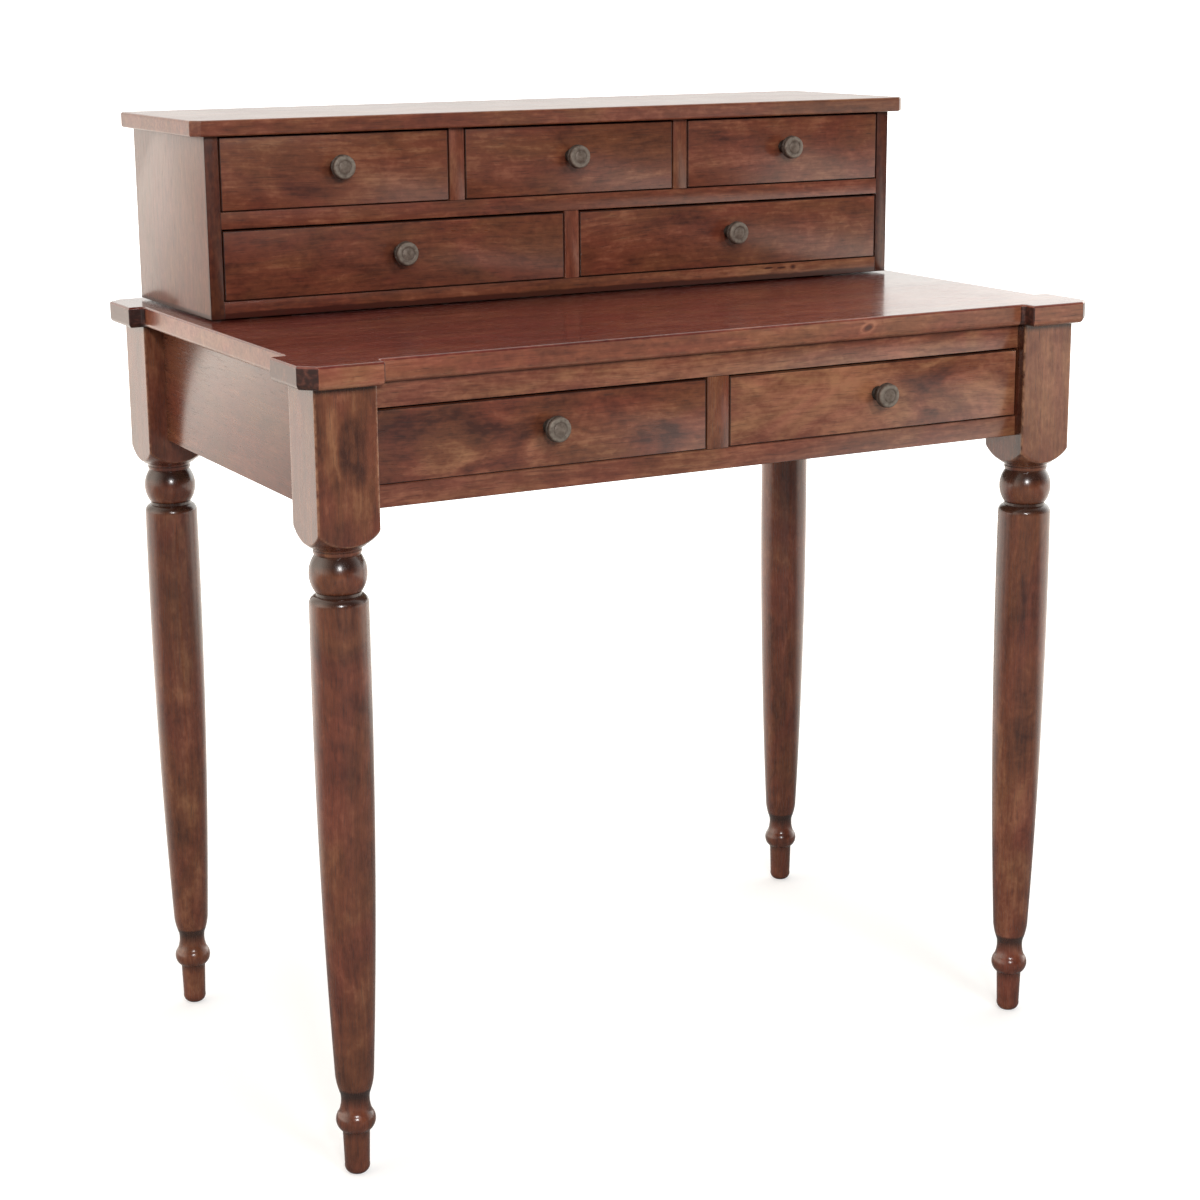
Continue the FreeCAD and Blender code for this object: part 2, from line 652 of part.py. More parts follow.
def make_case_top():
    """Slab over the case, with clipped corners and softened edges."""
    half = f"({CASE_HALF} + Sizes.slab_side_overhang)"
    top = new_body("case_top", ("0", "0", SLAB_UNDER))
    front = f"({CASE_FRONT} - Sizes.slab_front_overhang)"
    low = (f"-{half}", front, "0")
    add_block(top, low, (half, CASE_BACK, "Sizes.case_slab_thick"))
    dress(top, "Chamfer", is_upright, "Size", "Sizes.slab_clip")
    thick = value("Sizes.case_slab_thick")
    for height in (thick, 0):
        dress(top, "Chamfer", lambda edge, level=height: lies_at(edge, level), "Size",
              "Sizes.slab_edge_ease")
    keep("case_top", top)


def make_case_back():
    """Thin panel in the rabbets behind the drawers."""
    half = f"({CASE_IN} + Sizes.back_rabbet - Sizes.joint_gap)"
    panel = new_body("case_back", ("0", CASE_BACK_IN, CASE_FOOT))
    tall = f"({SLAB_UNDER} - {CASE_FOOT})"
    add_block(panel, (f"-{half}", "0", "0"), (half, "Sizes.back_panel_thick", tall))
    keep("case_back", panel)


def make_case_pads():
    """Four thin pads, let into the table top, that hold the case off it and in its place."""
    pads = []
    low, high = pad_square("0", "0")
    for x, y in pad_places():
        pad_body = new_body(f"case_pad_{len(pads)}", (x, y, PAD_FOOT))
        add_block(pad_body, low + ("0",), high + ("Sizes.pad_sink + Sizes.pad_thick",))
        pads.append(pad_body)
    keep("case_pads", *pads)


def make_case():
    """The whole case of small drawers, but for the drawers."""
    for side, name in ((-1, "left"), (1, "right")):
        make_case_side(f"case_side_{name}", side)
    make_case_shelf("case_floor", CASE_FOOT)
    make_case_shelf("case_shelf", LOWER_TOP)
    for side, name in ((-1, "left"), (1, "right")):
        place = mirrored(UPPER_DIVIDER, side)
        make_case_divider(f"upper_divider_{name}", place, UPPER_FLOOR, SLAB_UNDER)
    make_case_divider("lower_divider", "0", LOWER_FLOOR, LOWER_TOP)
    make_case_top()
    make_case_back()
    make_case_pads()


# ---------------------------------------------------------------- drawers


def make_knob(label, place):
    """Round knob turned about an axis square to the drawer front: a head on a neck."""
    knob = new_body(label, place)
    head = "(-Sizes.knob_neck_long)"
    face = f"({head} - Sizes.knob_head_long)"
    sketch = new_sketch(knob, "XY_Plane")
    draw_outline(sketch, [
        ("0", face),
        ("Sizes.knob_head_radius", face),
        ("Sizes.knob_head_radius", head),
        ("Sizes.knob_neck_radius", head),
        ("Sizes.knob_neck_radius", "0"),
        ("0", "0"),
    ])
    turned = knob.newObject("PartDesign::Revolution", f"{label}_turned")
    turned.Profile = sketch
    turned.ReferenceAxis = (sketch, ["V_Axis"])
    turned.Angle = 360
    keep(label, knob)


def make_drawer(name, left, right, floor, ceiling, face, kind, knob_x="Sizes.knob_centred"):
    """Drawer that fills an opening: front, box of sides and back, bottom and knob.

    left, right, floor and ceiling bound the opening, face is the Y of its front,
    and kind picks the thicknesses and length. knob_x is how far the knob sits from
    the middle. The drawer's own frame sits in the middle of the opening's floor,
    on the plane of the front's face.
    """
    place = (f"(({left}) + ({right})) / 2", face, floor)
    front_thick = f"Sizes.{kind}_front_thick"
    side_thick = f"Sizes.{kind}_side_thick"
    panel_thick = f"Sizes.{kind}_panel_thick"
    length = DESK_DRAWER_LONG if kind == "desk" else SMALL_DRAWER_LONG
    half = f"((({right}) - ({left})) / 2)"
    tall = f"(({ceiling}) - ({floor}))"
    front_half = f"({half} - Sizes.side_reveal)"
    side_out = f"({half} - Sizes.drawer_side_gap)"
    side_in = f"({side_out} - {side_thick})"
    side_top = f"({tall} - Sizes.drawer_side_drop)"
    panel_foot = "Sizes.panel_lift"
    panel_top = f"({panel_foot} + {panel_thick})"

    front = new_body(f"{name}_front", place)
    low = (f"-{front_half}", "0", "Sizes.foot_reveal")
    add_block(front, low, (front_half, front_thick, f"{tall} - Sizes.top_reveal"))
    for sign in (-1, 1):
        wide = span(sign, side_in, f"{half} + 1")
        cut_block(front, (wide[0], "Sizes.drawer_lip", "0"), (wide[1], f"{front_thick} + 1", side_top))
    groove_low = (f"-{side_in}", f"{front_thick} - Sizes.panel_groove", f"{panel_foot} - Sizes.panel_gap")
    cut_block(front, groove_low, (side_in, f"{front_thick} + 1", f"{panel_top} + Sizes.panel_gap"))
    keep(f"{name}_front", front)

    pieces = []
    for sign, side_name in ((-1, "left"), (1, "right")):
        board = new_body(f"{name}_side_{side_name}", place)
        wide = span(sign, side_in, side_out)
        low = (wide[0], "Sizes.drawer_lip", "Sizes.drawer_floor_gap")
        add_block(board, low, (wide[1], length, side_top))
        wide = span(sign, f"{side_in} - 1", f"{side_in} + Sizes.panel_groove")
        low = (wide[0], f"{front_thick} - Sizes.panel_groove", f"{panel_foot} - Sizes.panel_gap")
        cut_block(board, low, (wide[1], f"{length} + 1", f"{panel_top} + Sizes.panel_gap"))
        pieces.append(board)
    back = new_body(f"{name}_back", place)
    low = (f"-{side_in}", f"{length} - {side_thick}", f"{panel_top} + Sizes.panel_gap")
    add_block(back, low, (side_in, length, side_top))
    pieces.append(back)
    keep(f"{name}_box", *pieces)

    panel = new_body(f"{name}_bottom", place)
    panel_half = f"({side_in} + Sizes.panel_groove - Sizes.panel_gap)"
    low = (f"-{panel_half}", f"{front_thick} - Sizes.panel_groove + Sizes.panel_gap", panel_foot)
    add_block(panel, low, (panel_half, length, panel_top))
    keep(f"{name}_bottom", panel)

    knob_z = f"({floor}) + {tall} / 2 + Sizes.knob_lift"
    make_knob(f"{name}_knob", (f"({place[0]}) + {knob_x}", face, knob_z))


def make_drawers():
    """The two table drawers and the five small ones in the case."""
    desk_face = f"-{RAIL_FACE}"
    middle = "Sizes.front_divider_wide / 2"
    bounds = (OPENING_FLOOR, OPENING_TOP, desk_face, "desk")
    make_drawer("desk_drawer_left", f"-{INNER_X}", f"-{middle}", *bounds, "Sizes.desk_left_knob_shift")
    make_drawer("desk_drawer_right", middle, INNER_X, *bounds)
    face = CASE_FRONT
    half_board = "Sizes.case_board_thick / 2"
    bounds = (LOWER_FLOOR, LOWER_TOP, face, "small")
    make_drawer("low_drawer_left", f"-{CASE_IN}", f"-{half_board}", *bounds)
    make_drawer("low_drawer_right", half_board, CASE_IN, *bounds, "Sizes.low_right_knob_shift")
    outer = f"({UPPER_DIVIDER} + {half_board})"
    inner = f"({UPPER_DIVIDER} - {half_board})"
    bounds = (UPPER_FLOOR, SLAB_UNDER, face, "small")
    make_drawer("top_drawer_left", f"-{CASE_IN}", f"-{outer}", *bounds)
    make_drawer("top_drawer_centre", f"-{inner}", inner, *bounds)
    make_drawer("top_drawer_right", outer, CASE_IN, *bounds)


make_desk_top()
make_side_apron("side_apron_left", -1)
make_side_apron("side_apron_right", 1)
make_back_apron()
bottom_rail_foot = f"({OPENING_FLOOR} - Sizes.bottom_rail_tall)"
make_front_rail("front_top_rail", OPENING_TOP, "Sizes.top_rail_tall", "0",
                "Sizes.stub_tenon_tall + Sizes.joint_gap")
make_front_rail("front_bottom_rail", bottom_rail_foot, "Sizes.bottom_rail_tall",
                "Sizes.bottom_rail_tall - Sizes.stub_tenon_tall - Sizes.joint_gap", "Sizes.bottom_rail_tall")
make_front_divider()
make_runners()
make_top_fixings()
make_case()
make_drawers()

doc.recompute()
for item in doc.Objects:
    if "Invalid" in item.State or "Error" in item.State:
        raise ValueError(f"{item.Label} failed: {item.State}")
for label, node in NODES.items():
    if node.Shape.isNull() or not node.Shape.isValid() or not node.Shape.Solids:
        raise ValueError(f"{label} has no sound shape")

os.makedirs("parts", exist_ok=True)
for label, node in NODES.items():
    node.Shape.exportStep(f"parts/{label}.step")
print(f"{len(NODES)} sub-parts written")
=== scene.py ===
# %% Frame and tools
import json
import math

import bmesh
import bpy
import numpy as np
from mathutils import Matrix, Vector

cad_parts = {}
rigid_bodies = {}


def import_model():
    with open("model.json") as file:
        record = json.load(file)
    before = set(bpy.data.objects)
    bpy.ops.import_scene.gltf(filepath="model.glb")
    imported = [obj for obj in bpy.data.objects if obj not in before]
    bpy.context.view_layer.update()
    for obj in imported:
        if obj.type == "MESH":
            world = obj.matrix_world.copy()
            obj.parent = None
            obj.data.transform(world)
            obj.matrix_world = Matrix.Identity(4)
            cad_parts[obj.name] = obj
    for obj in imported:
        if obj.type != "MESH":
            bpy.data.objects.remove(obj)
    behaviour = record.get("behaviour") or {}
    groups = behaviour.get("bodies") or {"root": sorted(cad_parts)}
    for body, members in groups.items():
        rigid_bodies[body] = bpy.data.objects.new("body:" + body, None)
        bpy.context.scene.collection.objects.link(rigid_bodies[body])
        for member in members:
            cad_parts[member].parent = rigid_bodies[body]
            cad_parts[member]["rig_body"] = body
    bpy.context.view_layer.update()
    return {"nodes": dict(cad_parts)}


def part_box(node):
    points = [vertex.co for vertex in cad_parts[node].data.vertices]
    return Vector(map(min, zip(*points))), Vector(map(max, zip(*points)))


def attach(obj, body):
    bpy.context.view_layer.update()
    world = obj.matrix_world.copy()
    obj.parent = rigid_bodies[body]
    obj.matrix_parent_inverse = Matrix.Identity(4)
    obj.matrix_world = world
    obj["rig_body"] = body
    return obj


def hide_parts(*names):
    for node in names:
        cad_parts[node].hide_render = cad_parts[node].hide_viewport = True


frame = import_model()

solids = frame["nodes"]
MM = 0.001

# %% [markdown]
# # A bonheur du jour, dressed
# A small writing desk: four turned legs carry a top with an ear over each leg,
# and a low case of drawers stands on its back edge. The solids already have the
# joints and the sizes. Here each piece that shows gets its real surface: softened
# arrises, a full turning, cast knobs, stained wood with its grain.
#
# ## Surfaces from grids
# Legs, knobs, slabs and screw heads are rings of points, one after another. A Screw
# modifier could lathe them, but a grid worked out as one array keeps each step of a
# profile where it was drawn.

# %% Mesh from a grid
def placed(name, held):
    """New object in the scene that holds a mesh, a lamp or a camera."""
    made = bpy.data.objects.new(name, held)
    bpy.context.scene.collection.objects.link(made)
    return made


def grid_piece(name, points):
    """Closed tube from points[row, column]: columns run round, rows run along.

    A quad joins (row, column) to (row + 1, column + 1), columns wrapping, and one
    face closes each end. Faces look outwards where columns turn anticlockwise seen
    from the last row. One more axis in front makes that many tubes in one piece.
    """
    rows, columns = points.shape[-3:-1]
    row, column = np.meshgrid(np.arange(rows - 1), np.arange(columns), indexing="ij")
    beside = (column + 1) % columns
    corners = (row * columns + column, row * columns + beside,
               (row + 1) * columns + beside, (row + 1) * columns + column)
    faces = np.stack(corners, axis=-1).reshape(-1, 4).tolist()
    faces.append(list(range(columns))[::-1])
    faces.append([(rows - 1) * columns + index for index in range(columns)])
    starts = range(0, points.size // 3, rows * columns)
    faces = [[start + corner for corner in face] for start in starts for face in faces]
    mesh = bpy.data.meshes.new(name)
    mesh.from_pydata(points.reshape(-1, 3), [], faces)
    mesh.shade_smooth()
    return placed(name, mesh)


print("grids become closed pieces, with one quad between four neighbours")

# %% Profiles
def arc(start, end, swell, steps):
    """Points after start on the circle through start and end whose middle stands off
    their chord by swell, to the right of the way from start to end.

    The circle's radius is (chord^2 / 4 + swell^2) / (2 |swell|).
    """
    start, end = np.array(start, float), np.array(end, float)
    if not swell:
        return start + (end - start) * np.linspace(0, 1, steps + 1)[1:, None]
    chord = np.linalg.norm(end - start)
    along = (end - start) / chord
    side = np.array([along[1], -along[0]])
    radius = (chord**2 / 4 + swell**2) / (2 * abs(swell))
    half = math.asin(min(1.0, chord / 2 / radius))
    turn = np.linspace(-half, half, steps + 1)[1:, None]
    out = (radius * np.cos(turn) - (radius - abs(swell))) * math.copysign(1, swell)
    return start + along * (chord / 2 + radius * np.sin(turn)) + side * out


def outline(start, *arcs):
    """A profile in one array: start, then arcs given as (end, swell, steps)."""
    parts = [np.array([start], float)]
    for end, swell, steps in arcs:
        parts.append(arc(parts[-1][-1], end, swell, steps))
    return np.concatenate(parts)


print("an arc of 4 steps:", arc((0, 0), (10, 0), 1, 4).round(2).tolist())

# %% [markdown]
# ## What a piece tells its finish
# No two boards are equally light, each is rubbed in its own places, and pieces carry
# painted shade in theirs. They could have a material each. Numbers stored on the vertices do it
# with one recipe, because the finish reads them and follows the shape.

# %% Numbers on the vertices
PLAIN_TONE = 0.005
TONES = {
    "leg_front_left": -0.06, "leg_front_right": -0.04, "leg_back_left": -0.02,
    "leg_back_right": -0.03, "desk_drawer_left": -0.03, "desk_drawer_right": 0.09,
    "top_drawer_left": -0.03, "top_drawer_centre": -0.01, "top_drawer_right": 0.01,
    "low_drawer_left": -0.055, "low_drawer_right": -0.025, "front_top_rail": 0.07,
    "front_bottom_rail": 0.05, "front_divider": 0.06, "case_floor": -0.03,
    "case_shelf": -0.035, "case_side": -0.06}


def box_of(node):
    """Low corner, high corner and middle of a solid's box, in metres."""
    low, high = (np.array(corner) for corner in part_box(node))
    return low, high, (low + high) / 2


def stored(piece, layer_name, values):
    """Puts one number on every vertex, in a layer that the finishes read by name."""
    layer = piece.data.attributes.new(layer_name, "FLOAT", "POINT")
    layer.data.foreach_set("value", np.asarray(values, np.float32).ravel())


def worn(piece, mask, layer_name="rubbed"):
    """Stores how rubbed each vertex is, or how much painted shade it has, from 0 to 1."""
    stored(piece, layer_name, np.clip(mask, 0, 1))


def toned(piece, node):
    """Stores how light this board is, which is also where its grain starts."""
    tone = next((tone for start, tone in TONES.items() if node.startswith(start)), PLAIN_TONE)
    stored(piece, "tone", np.full(len(piece.data.vertices), tone))


def set_in(piece, node, finishes):
    """The piece stands for a solid, moves with its body and takes its finishes.

    Only a list that holds something is cleared, because clearing also forgets which
    faces use which finish.
    """
    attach(piece, solids[node]["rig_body"])
    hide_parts(node)
    toned(piece, node)
    if len(piece.data.materials):
        piece.data.materials.clear()
    for finish in finishes:
        piece.data.materials.append(finish)
    return piece


print("boards with a tone of their own:", len(TONES))

# %% [markdown]
# ## Finishes
# The desk is stained a warm reddish brown and polished. Its finishes could be wired by
# hand in the editor, but small helpers keep the wiring readable: one adds a node, the
# others are the few sums that every finish needs.

# %% Node helpers
def add(tree, kind, inputs=None, **settings):
    """Adds a node; an input given as a socket is linked, anything else is its value."""
    made = tree.nodes.new(kind)
    for name, setting in settings.items():
        setattr(made, name, setting)
    for socket, given in (inputs or {}).items():
        if isinstance(given, bpy.types.NodeSocket):
            tree.links.new(given, made.inputs[socket])
        else:
            made.inputs[socket].default_value = given
    return made


def join(tree, sources, sockets):
    """Links each named source to the socket of the same name."""
    for name, source in sources.items():
        tree.links.new(source, sockets[name])


def maths(tree, operation, first, second=0.0, clamp=False):
    """One Math node; gives its output socket."""
    inputs = {0: first, 1: second}
    return add(tree, "ShaderNodeMath", inputs, operation=operation, use_clamp=clamp).outputs[0]


def vectors(tree, operation, inputs, output="Vector"):
    """One Vector Math node; gives its vector, or the number that it comes to."""
    return add(tree, "ShaderNodeVectorMath", inputs, operation=operation).outputs[output]


def blend(tree, share, first, second, way="MIX"):
    """Mix of two colours by a share; gives its output socket."""
    inputs = {0: share, 6: first, 7: second}
    return add(tree, "ShaderNodeMix", inputs, data_type="RGBA", blend_type=way).outputs[2]


def window(tree, value, low, high, start=0.0, end=1.0):
    """Value spread from low..high to start..end, clamped."""
    inputs = {0: value, 1: low, 2: high, 3: start, 4: end}
    return add(tree, "ShaderNodeMapRange", inputs).outputs[0]


def swing(tree, noise, size):
    """Noise about zero: (noise - 0.5) times size."""
    return maths(tree, "MULTIPLY", maths(tree, "SUBTRACT", noise, 0.5), size)


def reads(tree, layer_name):
    """A number that the piece stores on its vertices."""
    return add(tree, "ShaderNodeAttribute", attribute_name=layer_name).outputs["Fac"]


print("node helpers ready")

# %% [markdown]
# ## Noises
# Wood, polish and metal are each cloudy in their own way. The table says how often a
# noise repeats per metre along the grain, across it and up, how many octaves it has,
# and how much it twists. Images would need unwrapping and repeat; a noise on the
# desk's own coordinates does neither.

# %% Noise table
NOISES = {
    "sway": ((2.2, 6.0, 6.0), 1.0, 0.0),
    "stripes": ((2.5, 62.0, 62.0), 4.0, 0.5),
    "fibres": ((30.0, 300.0, 300.0), 4.0, 0.0),
    "figure": ((11.0, 19.0, 19.0), 4.0, 1.8),
    "drift": ((2.5, 4.0, 4.0), 1.0, 0.0),
    "mottle": ((120.0, 190.0, 190.0), 3.0, 0.6),
    "pores": ((45.0, 1300.0, 1300.0), 1.0, 0.0),
    "warmth": ((7.0, 15.0, 15.0), 4.0, 1.5),
    "ragged edge": ((26.0, 70.0, 70.0), 6.0, 1.8),
    "gloss patches": ((11.0, 11.0, 11.0), 3.0, 0.0),
    "rubbing": ((160.0, 160.0, 160.0), 3.0, 0.0),
    "scratches": ((30.0, 900.0, 900.0), 1.0, 2.0),
    "patina": ((240.0, 240.0, 240.0), 3.0, 0.0),
    "casting grit": ((1400.0, 1400.0, 1400.0), 2.0, 0.0),
    "felt fibre": ((900.0, 900.0, 900.0), 3.0, 0.0)}


def noise(tree, vector, name, output="Fac"):
    """Noise of the table on a vector scaled along, across and up."""
    scale, octaves, twist = NOISES[name]
    place = vectors(tree, "MULTIPLY", {0: vector, 1: scale})
    inputs = {"Vector": place, "Scale": 1.0, "Detail": octaves, "Distortion": twist}
    return add(tree, "ShaderNodeTexNoise", inputs).outputs[output]


def new_group(name, inputs, outputs):
    """Shader node group; gives its tree, its inputs and its outlet.

    Vector, Centre and Size hold a vector, Color and Bare a colour, the rest a number.
    """
    kinds = {"Vector": "Vector", "Centre": "Vector", "Size": "Vector", "Color": "Color", "Bare": "Color"}
    tree = bpy.data.node_groups.new(name, "ShaderNodeTree")
    for way, labels in (("INPUT", inputs), ("OUTPUT", outputs)):
        for label in labels:
            kind = kinds.get(label, "Float")
            tree.interface.new_socket(label, in_out=way, socket_type=f"NodeSocket{kind}")
    return tree, tree.nodes.new("NodeGroupInput").outputs, tree.nodes.new("NodeGroupOutput").inputs


print("noises:", ", ".join(NOISES))

# %% [markdown]
# ## Grain
# Sawn wood shows stripes of the year rings, fine fibres, a cloudy figure, a slow drift
# from end to end, a mottle under the polish, and open pores. One noise can't hold all
# that, so the group adds five, each with its own weight, and sways them a little,
# because no tree grows dead straight.

# %% Grain group
WEIGHTS = ["Stripes", "Fibres", "Figure", "Drift", "Mottle"]


def make_grain_group():
    """Tone, pores, relief and warmth of sawn wood; X of the vector runs along the grain.

    The tone is 0.5 plus a weighted sum of five noises about zero, from stripes half a
    metre long to a mottle of 6 mm that gives polished wood its shimmer.
    """
    tree, given, out = new_group(
        "Grain", ["Vector", *WEIGHTS, "Wander"], ["Tone", "Pores", "Relief", "Warmth"])
    sway = noise(tree, given["Vector"], "sway", "Color")
    sway = vectors(tree, "SUBTRACT", {0: sway, 1: (0.5, 0.5, 0.5)})
    shift = vectors(tree, "SCALE", {0: sway, "Scale": given["Wander"]})
    place = vectors(tree, "ADD", {0: given["Vector"], 1: shift})
    layers = {name: noise(tree, place, name.lower()) for name in WEIGHTS[:4]}
    layers["Mottle"] = noise(tree, given["Vector"], "mottle")
    tone = 0.5
    for name, layer in layers.items():
        tone = maths(tree, "ADD", swing(tree, layer, given[name]), tone)
    pores = window(tree, noise(tree, place, "pores"), 0.6, 0.72)
    relief = maths(tree, "SUBTRACT", maths(tree, "MULTIPLY", layers["Fibres"], 0.5), pores)
    warmth = window(tree, noise(tree, place, "warmth"), 0.36, 0.64)
    join(tree, {"Tone": tone, "Pores": pores, "Relief": relief, "Warmth": warmth}, out)
    return tree


GRAIN = make_grain_group()
print("group:", GRAIN.name, "of", len(GRAIN.nodes), "nodes")

# %% [markdown]
# ## Knots, flames, stains and painted shade
# Some marks sit in one place on one board: a knot in the edge of the top, an eye on
# a leg's block, shade painted along a foot or into a corner. They could be painted, but an
# oval mask with a ragged edge needs no picture and stays sharp at any size.

# %% Mark group
def make_mark_group():
    """Mask of one mark: 1 at its centre, 0 beyond an oval with a ragged edge.

    With d the way from the centre, turned about Y, the mask falls from 1 to 0 while
    |d / size| plus a noise goes from 1.1 - soft to 1.1.
    """
    rim = 1.1
    tree, given, out = new_group(
        "Mark", ["Vector", "Centre", "Size", "Turn", "Ragged", "Soft"], ["Mask"])
    off = vectors(tree, "SUBTRACT", {0: given["Vector"], 1: given["Centre"]})
    turned = add(tree, "ShaderNodeVectorRotate", {"Vector": off, "Angle": given["Turn"]},
                 rotation_type="Y_AXIS").outputs[0]
    oval = vectors(tree, "DIVIDE", {0: turned, 1: given["Size"]})
    reach = vectors(tree, "LENGTH", {0: oval}, "Value")
    ragged = swing(tree, noise(tree, given["Vector"], "ragged edge"), given["Ragged"])
    full = maths(tree, "SUBTRACT", rim, given["Soft"])
    outside = window(tree, maths(tree, "ADD", reach, ragged), full, rim)
    join(tree, {"Mask": maths(tree, "SUBTRACT", 1.0, outside)}, out)
    return tree


MARK = make_mark_group()
print("group:", MARK.name, "of", len(MARK.nodes), "nodes")

# %% [markdown]
# ## Polish
# Old polish is duller in patches, finely scratched and worn through to paler wood on the
# arrises. Its pores are darker, and shade is painted in wherever a piece stores it. Each wood
# could hold these nodes itself, but as a second group they follow any grain.

# %% Polish group
def make_polish_group():
    """Colour and gloss of the polish over stained wood.

    Rubbed arrises are lighter; pores and the painted shade are darker; the roughness is a
    base value plus cloudy patches, hair-fine scratches and the pores.
    """
    unevenness = 0.12
    # Near black, for filled pores and for the shade painted in.
    pore_and_shade_dark = (0.012, 0.006, 0.005, 1)
    tree, given, out = new_group(
        "Polish", ["Vector", "Color", "Pores", "Rubbed", "Painted shade", "Bare", "Base"],
        ["Color", "Roughness"])
    broken = window(tree, noise(tree, given["Vector"], "rubbing"), 0.35, 0.65)
    edge = maths(tree, "MULTIPLY", given["Rubbed"], broken)
    tinted = blend(tree, maths(tree, "MULTIPLY", edge, 0.7), given["Color"], given["Bare"])
    pores_and_shade = maths(tree, "MAXIMUM", maths(tree, "MULTIPLY", given["Pores"], 0.45), given["Painted shade"])
    clouds = swing(tree, noise(tree, given["Vector"], "gloss patches"), unevenness)
    lines = swing(tree, noise(tree, given["Vector"], "scratches"), unevenness)
    rough = maths(tree, "ADD", maths(tree, "ADD", given["Base"], clouds), lines)
    open_grain = maths(tree, "MULTIPLY", given["Pores"], unevenness)
    rough = maths(tree, "ADD", rough, open_grain, clamp=True)
    join(tree, {"Color": blend(tree, pores_and_shade, tinted, pore_and_shade_dark), "Roughness": rough}, out)
    return tree


POLISH = make_polish_group()
print("group:", POLISH.name, "of", len(POLISH.nodes), "nodes")

# %% [markdown]
# ## Wood
# Stain soaks into soft grain more than into hard, so a wood runs from dark through
# middle to light, and is paler where it is worn bare. One colour with a bump would
# look like plastic. The finish turns the grain along its board, adds the marks and
# the polish, and starts the grain at another place on each board.

# %% Stains
TURNS = {"x": (0, 0, 0), "y": (0, 0, math.pi / 2), "z": (0, math.pi / 2, 0)}
GRAIN_STARTS = (91.0, 57.0, 73.0)
COOL_SHADE = (1.0, 0.86, 1.06, 1)
WARM_SHADE = (0.98, 1.06, 1.08, 1)
STAIN = {
    "dark": (0.048, 0.013, 0.007, 1), "middle": (0.148, 0.045, 0.020, 1),
    "light": (0.300, 0.125, 0.058, 1), "bare": (0.36, 0.18, 0.10, 1)}
RED_STAIN = {
    "dark": (0.045, 0.008, 0.006, 1), "middle": (0.130, 0.025, 0.016, 1),
    "light": (0.270, 0.085, 0.045, 1), "bare": (0.36, 0.17, 0.10, 1)}
EDGE_STAIN = {
    "dark": (0.075, 0.022, 0.011, 1), "middle": (0.215, 0.070, 0.032, 1),
    "light": (0.390, 0.175, 0.085, 1), "bare": (0.45, 0.24, 0.14, 1)}
END_GRAIN_AND_SHADE_STAIN = {
    "dark": (0.008, 0.003, 0.002, 1), "middle": (0.034, 0.010, 0.007, 1),
    "light": (0.120, 0.038, 0.022, 1), "bare": (0.20, 0.08, 0.045, 1)}
DEAL = {
    "dark": (0.20, 0.115, 0.058, 1), "middle": (0.36, 0.225, 0.120, 1),
    "light": (0.50, 0.340, 0.190, 1), "bare": (0.55, 0.40, 0.25, 1)}


def stain_ramp(tree, tone, stain):
    """Colour of the stain at a tone: dark at 0.22, middle at 0.5, light at 0.78."""
    ramp = add(tree, "ShaderNodeValToRGB", {0: tone})
    stops = ramp.color_ramp.elements
    stops[0].position, stops[0].color = 0.22, stain["dark"]
    stops[1].position, stops[1].color = 0.78, stain["light"]
    stops.new(0.5).color = stain["middle"]
    return ramp.outputs[0]


print("stains: reddish brown, redder, edge, dark end grain and plain deal")

# %% Wood finish
def new_finish(name):
    """Empty material; gives it, its tree, its shader and the desk's own coordinates."""
    made = bpy.data.materials.new(name)
    made.use_nodes = True
    tree = made.node_tree
    spot = add(tree, "ShaderNodeTexCoord").outputs["Object"]
    return made, tree, tree.nodes["Principled BSDF"], spot


def wood(name, along, stain=STAIN, stripes=0.35, fibres=0.5, figure=0.3, drift=0.3, mottle=0.3,
         wander=0.02, hue=1.0, gloss=0.32, coat=0.35, coat_gloss=0.16, relief=0.06, marks=()):
    """Stained and polished wood whose grain runs along one axis of the desk.

    Each mark is (centre, half-sizes, turn in degrees, tone, ragged, soft): a knot,
    flame, stain or painted shade that is darker (tone below 0) or lighter than the board round it.
    """
    made, tree, shader, spot = new_finish(name)
    turned = add(tree, "ShaderNodeMapping", {"Vector": spot, "Rotation": TURNS[along]}).outputs[0]
    tone = reads(tree, "tone")
    start = vectors(tree, "SCALE", {0: GRAIN_STARTS, "Scale": tone})
    vector = vectors(tree, "ADD", {0: turned, 1: start})
    grain = add(tree, "ShaderNodeGroup", {
        "Vector": vector, "Stripes": stripes, "Fibres": fibres, "Figure": figure, "Drift": drift,
        "Mottle": mottle, "Wander": wander}, node_tree=GRAIN).outputs
    total = maths(tree, "ADD", grain["Tone"], tone)
    for centre, size, turn, depth, ragged, soft in marks:
        mask = add(tree, "ShaderNodeGroup", {
            "Vector": spot, "Centre": centre, "Size": size, "Turn": math.radians(turn),
            "Ragged": ragged, "Soft": soft}, node_tree=MARK).outputs["Mask"]
        total = maths(tree, "ADD", total, maths(tree, "MULTIPLY", mask, depth))
    shade = blend(tree, grain["Warmth"], COOL_SHADE, WARM_SHADE)
    stained = blend(tree, hue, stain_ramp(tree, total, stain), shade, "MULTIPLY")
    # Shade painted into the piece comes in as its own layer and darkens the polished wood.
    polish = add(tree, "ShaderNodeGroup", {
        "Vector": vector, "Color": stained, "Pores": grain["Pores"], "Rubbed": reads(tree, "rubbed"),
        "Painted shade": reads(tree, "painted_shade"), "Bare": stain["bare"], "Base": gloss}, node_tree=POLISH).outputs
    bump = add(tree, "ShaderNodeBump", {
        "Strength": relief, "Distance": 0.6 * MM, "Height": grain["Relief"]}).outputs[0]
    join(tree, {"Base Color": polish["Color"], "Roughness": polish["Roughness"], "Normal": bump},
         shader.inputs)
    shader.inputs["Coat Weight"].default_value = coat
    shader.inputs["Coat Roughness"].default_value = coat_gloss
    return made


print("wood recipe ready: grain, marks and polish")
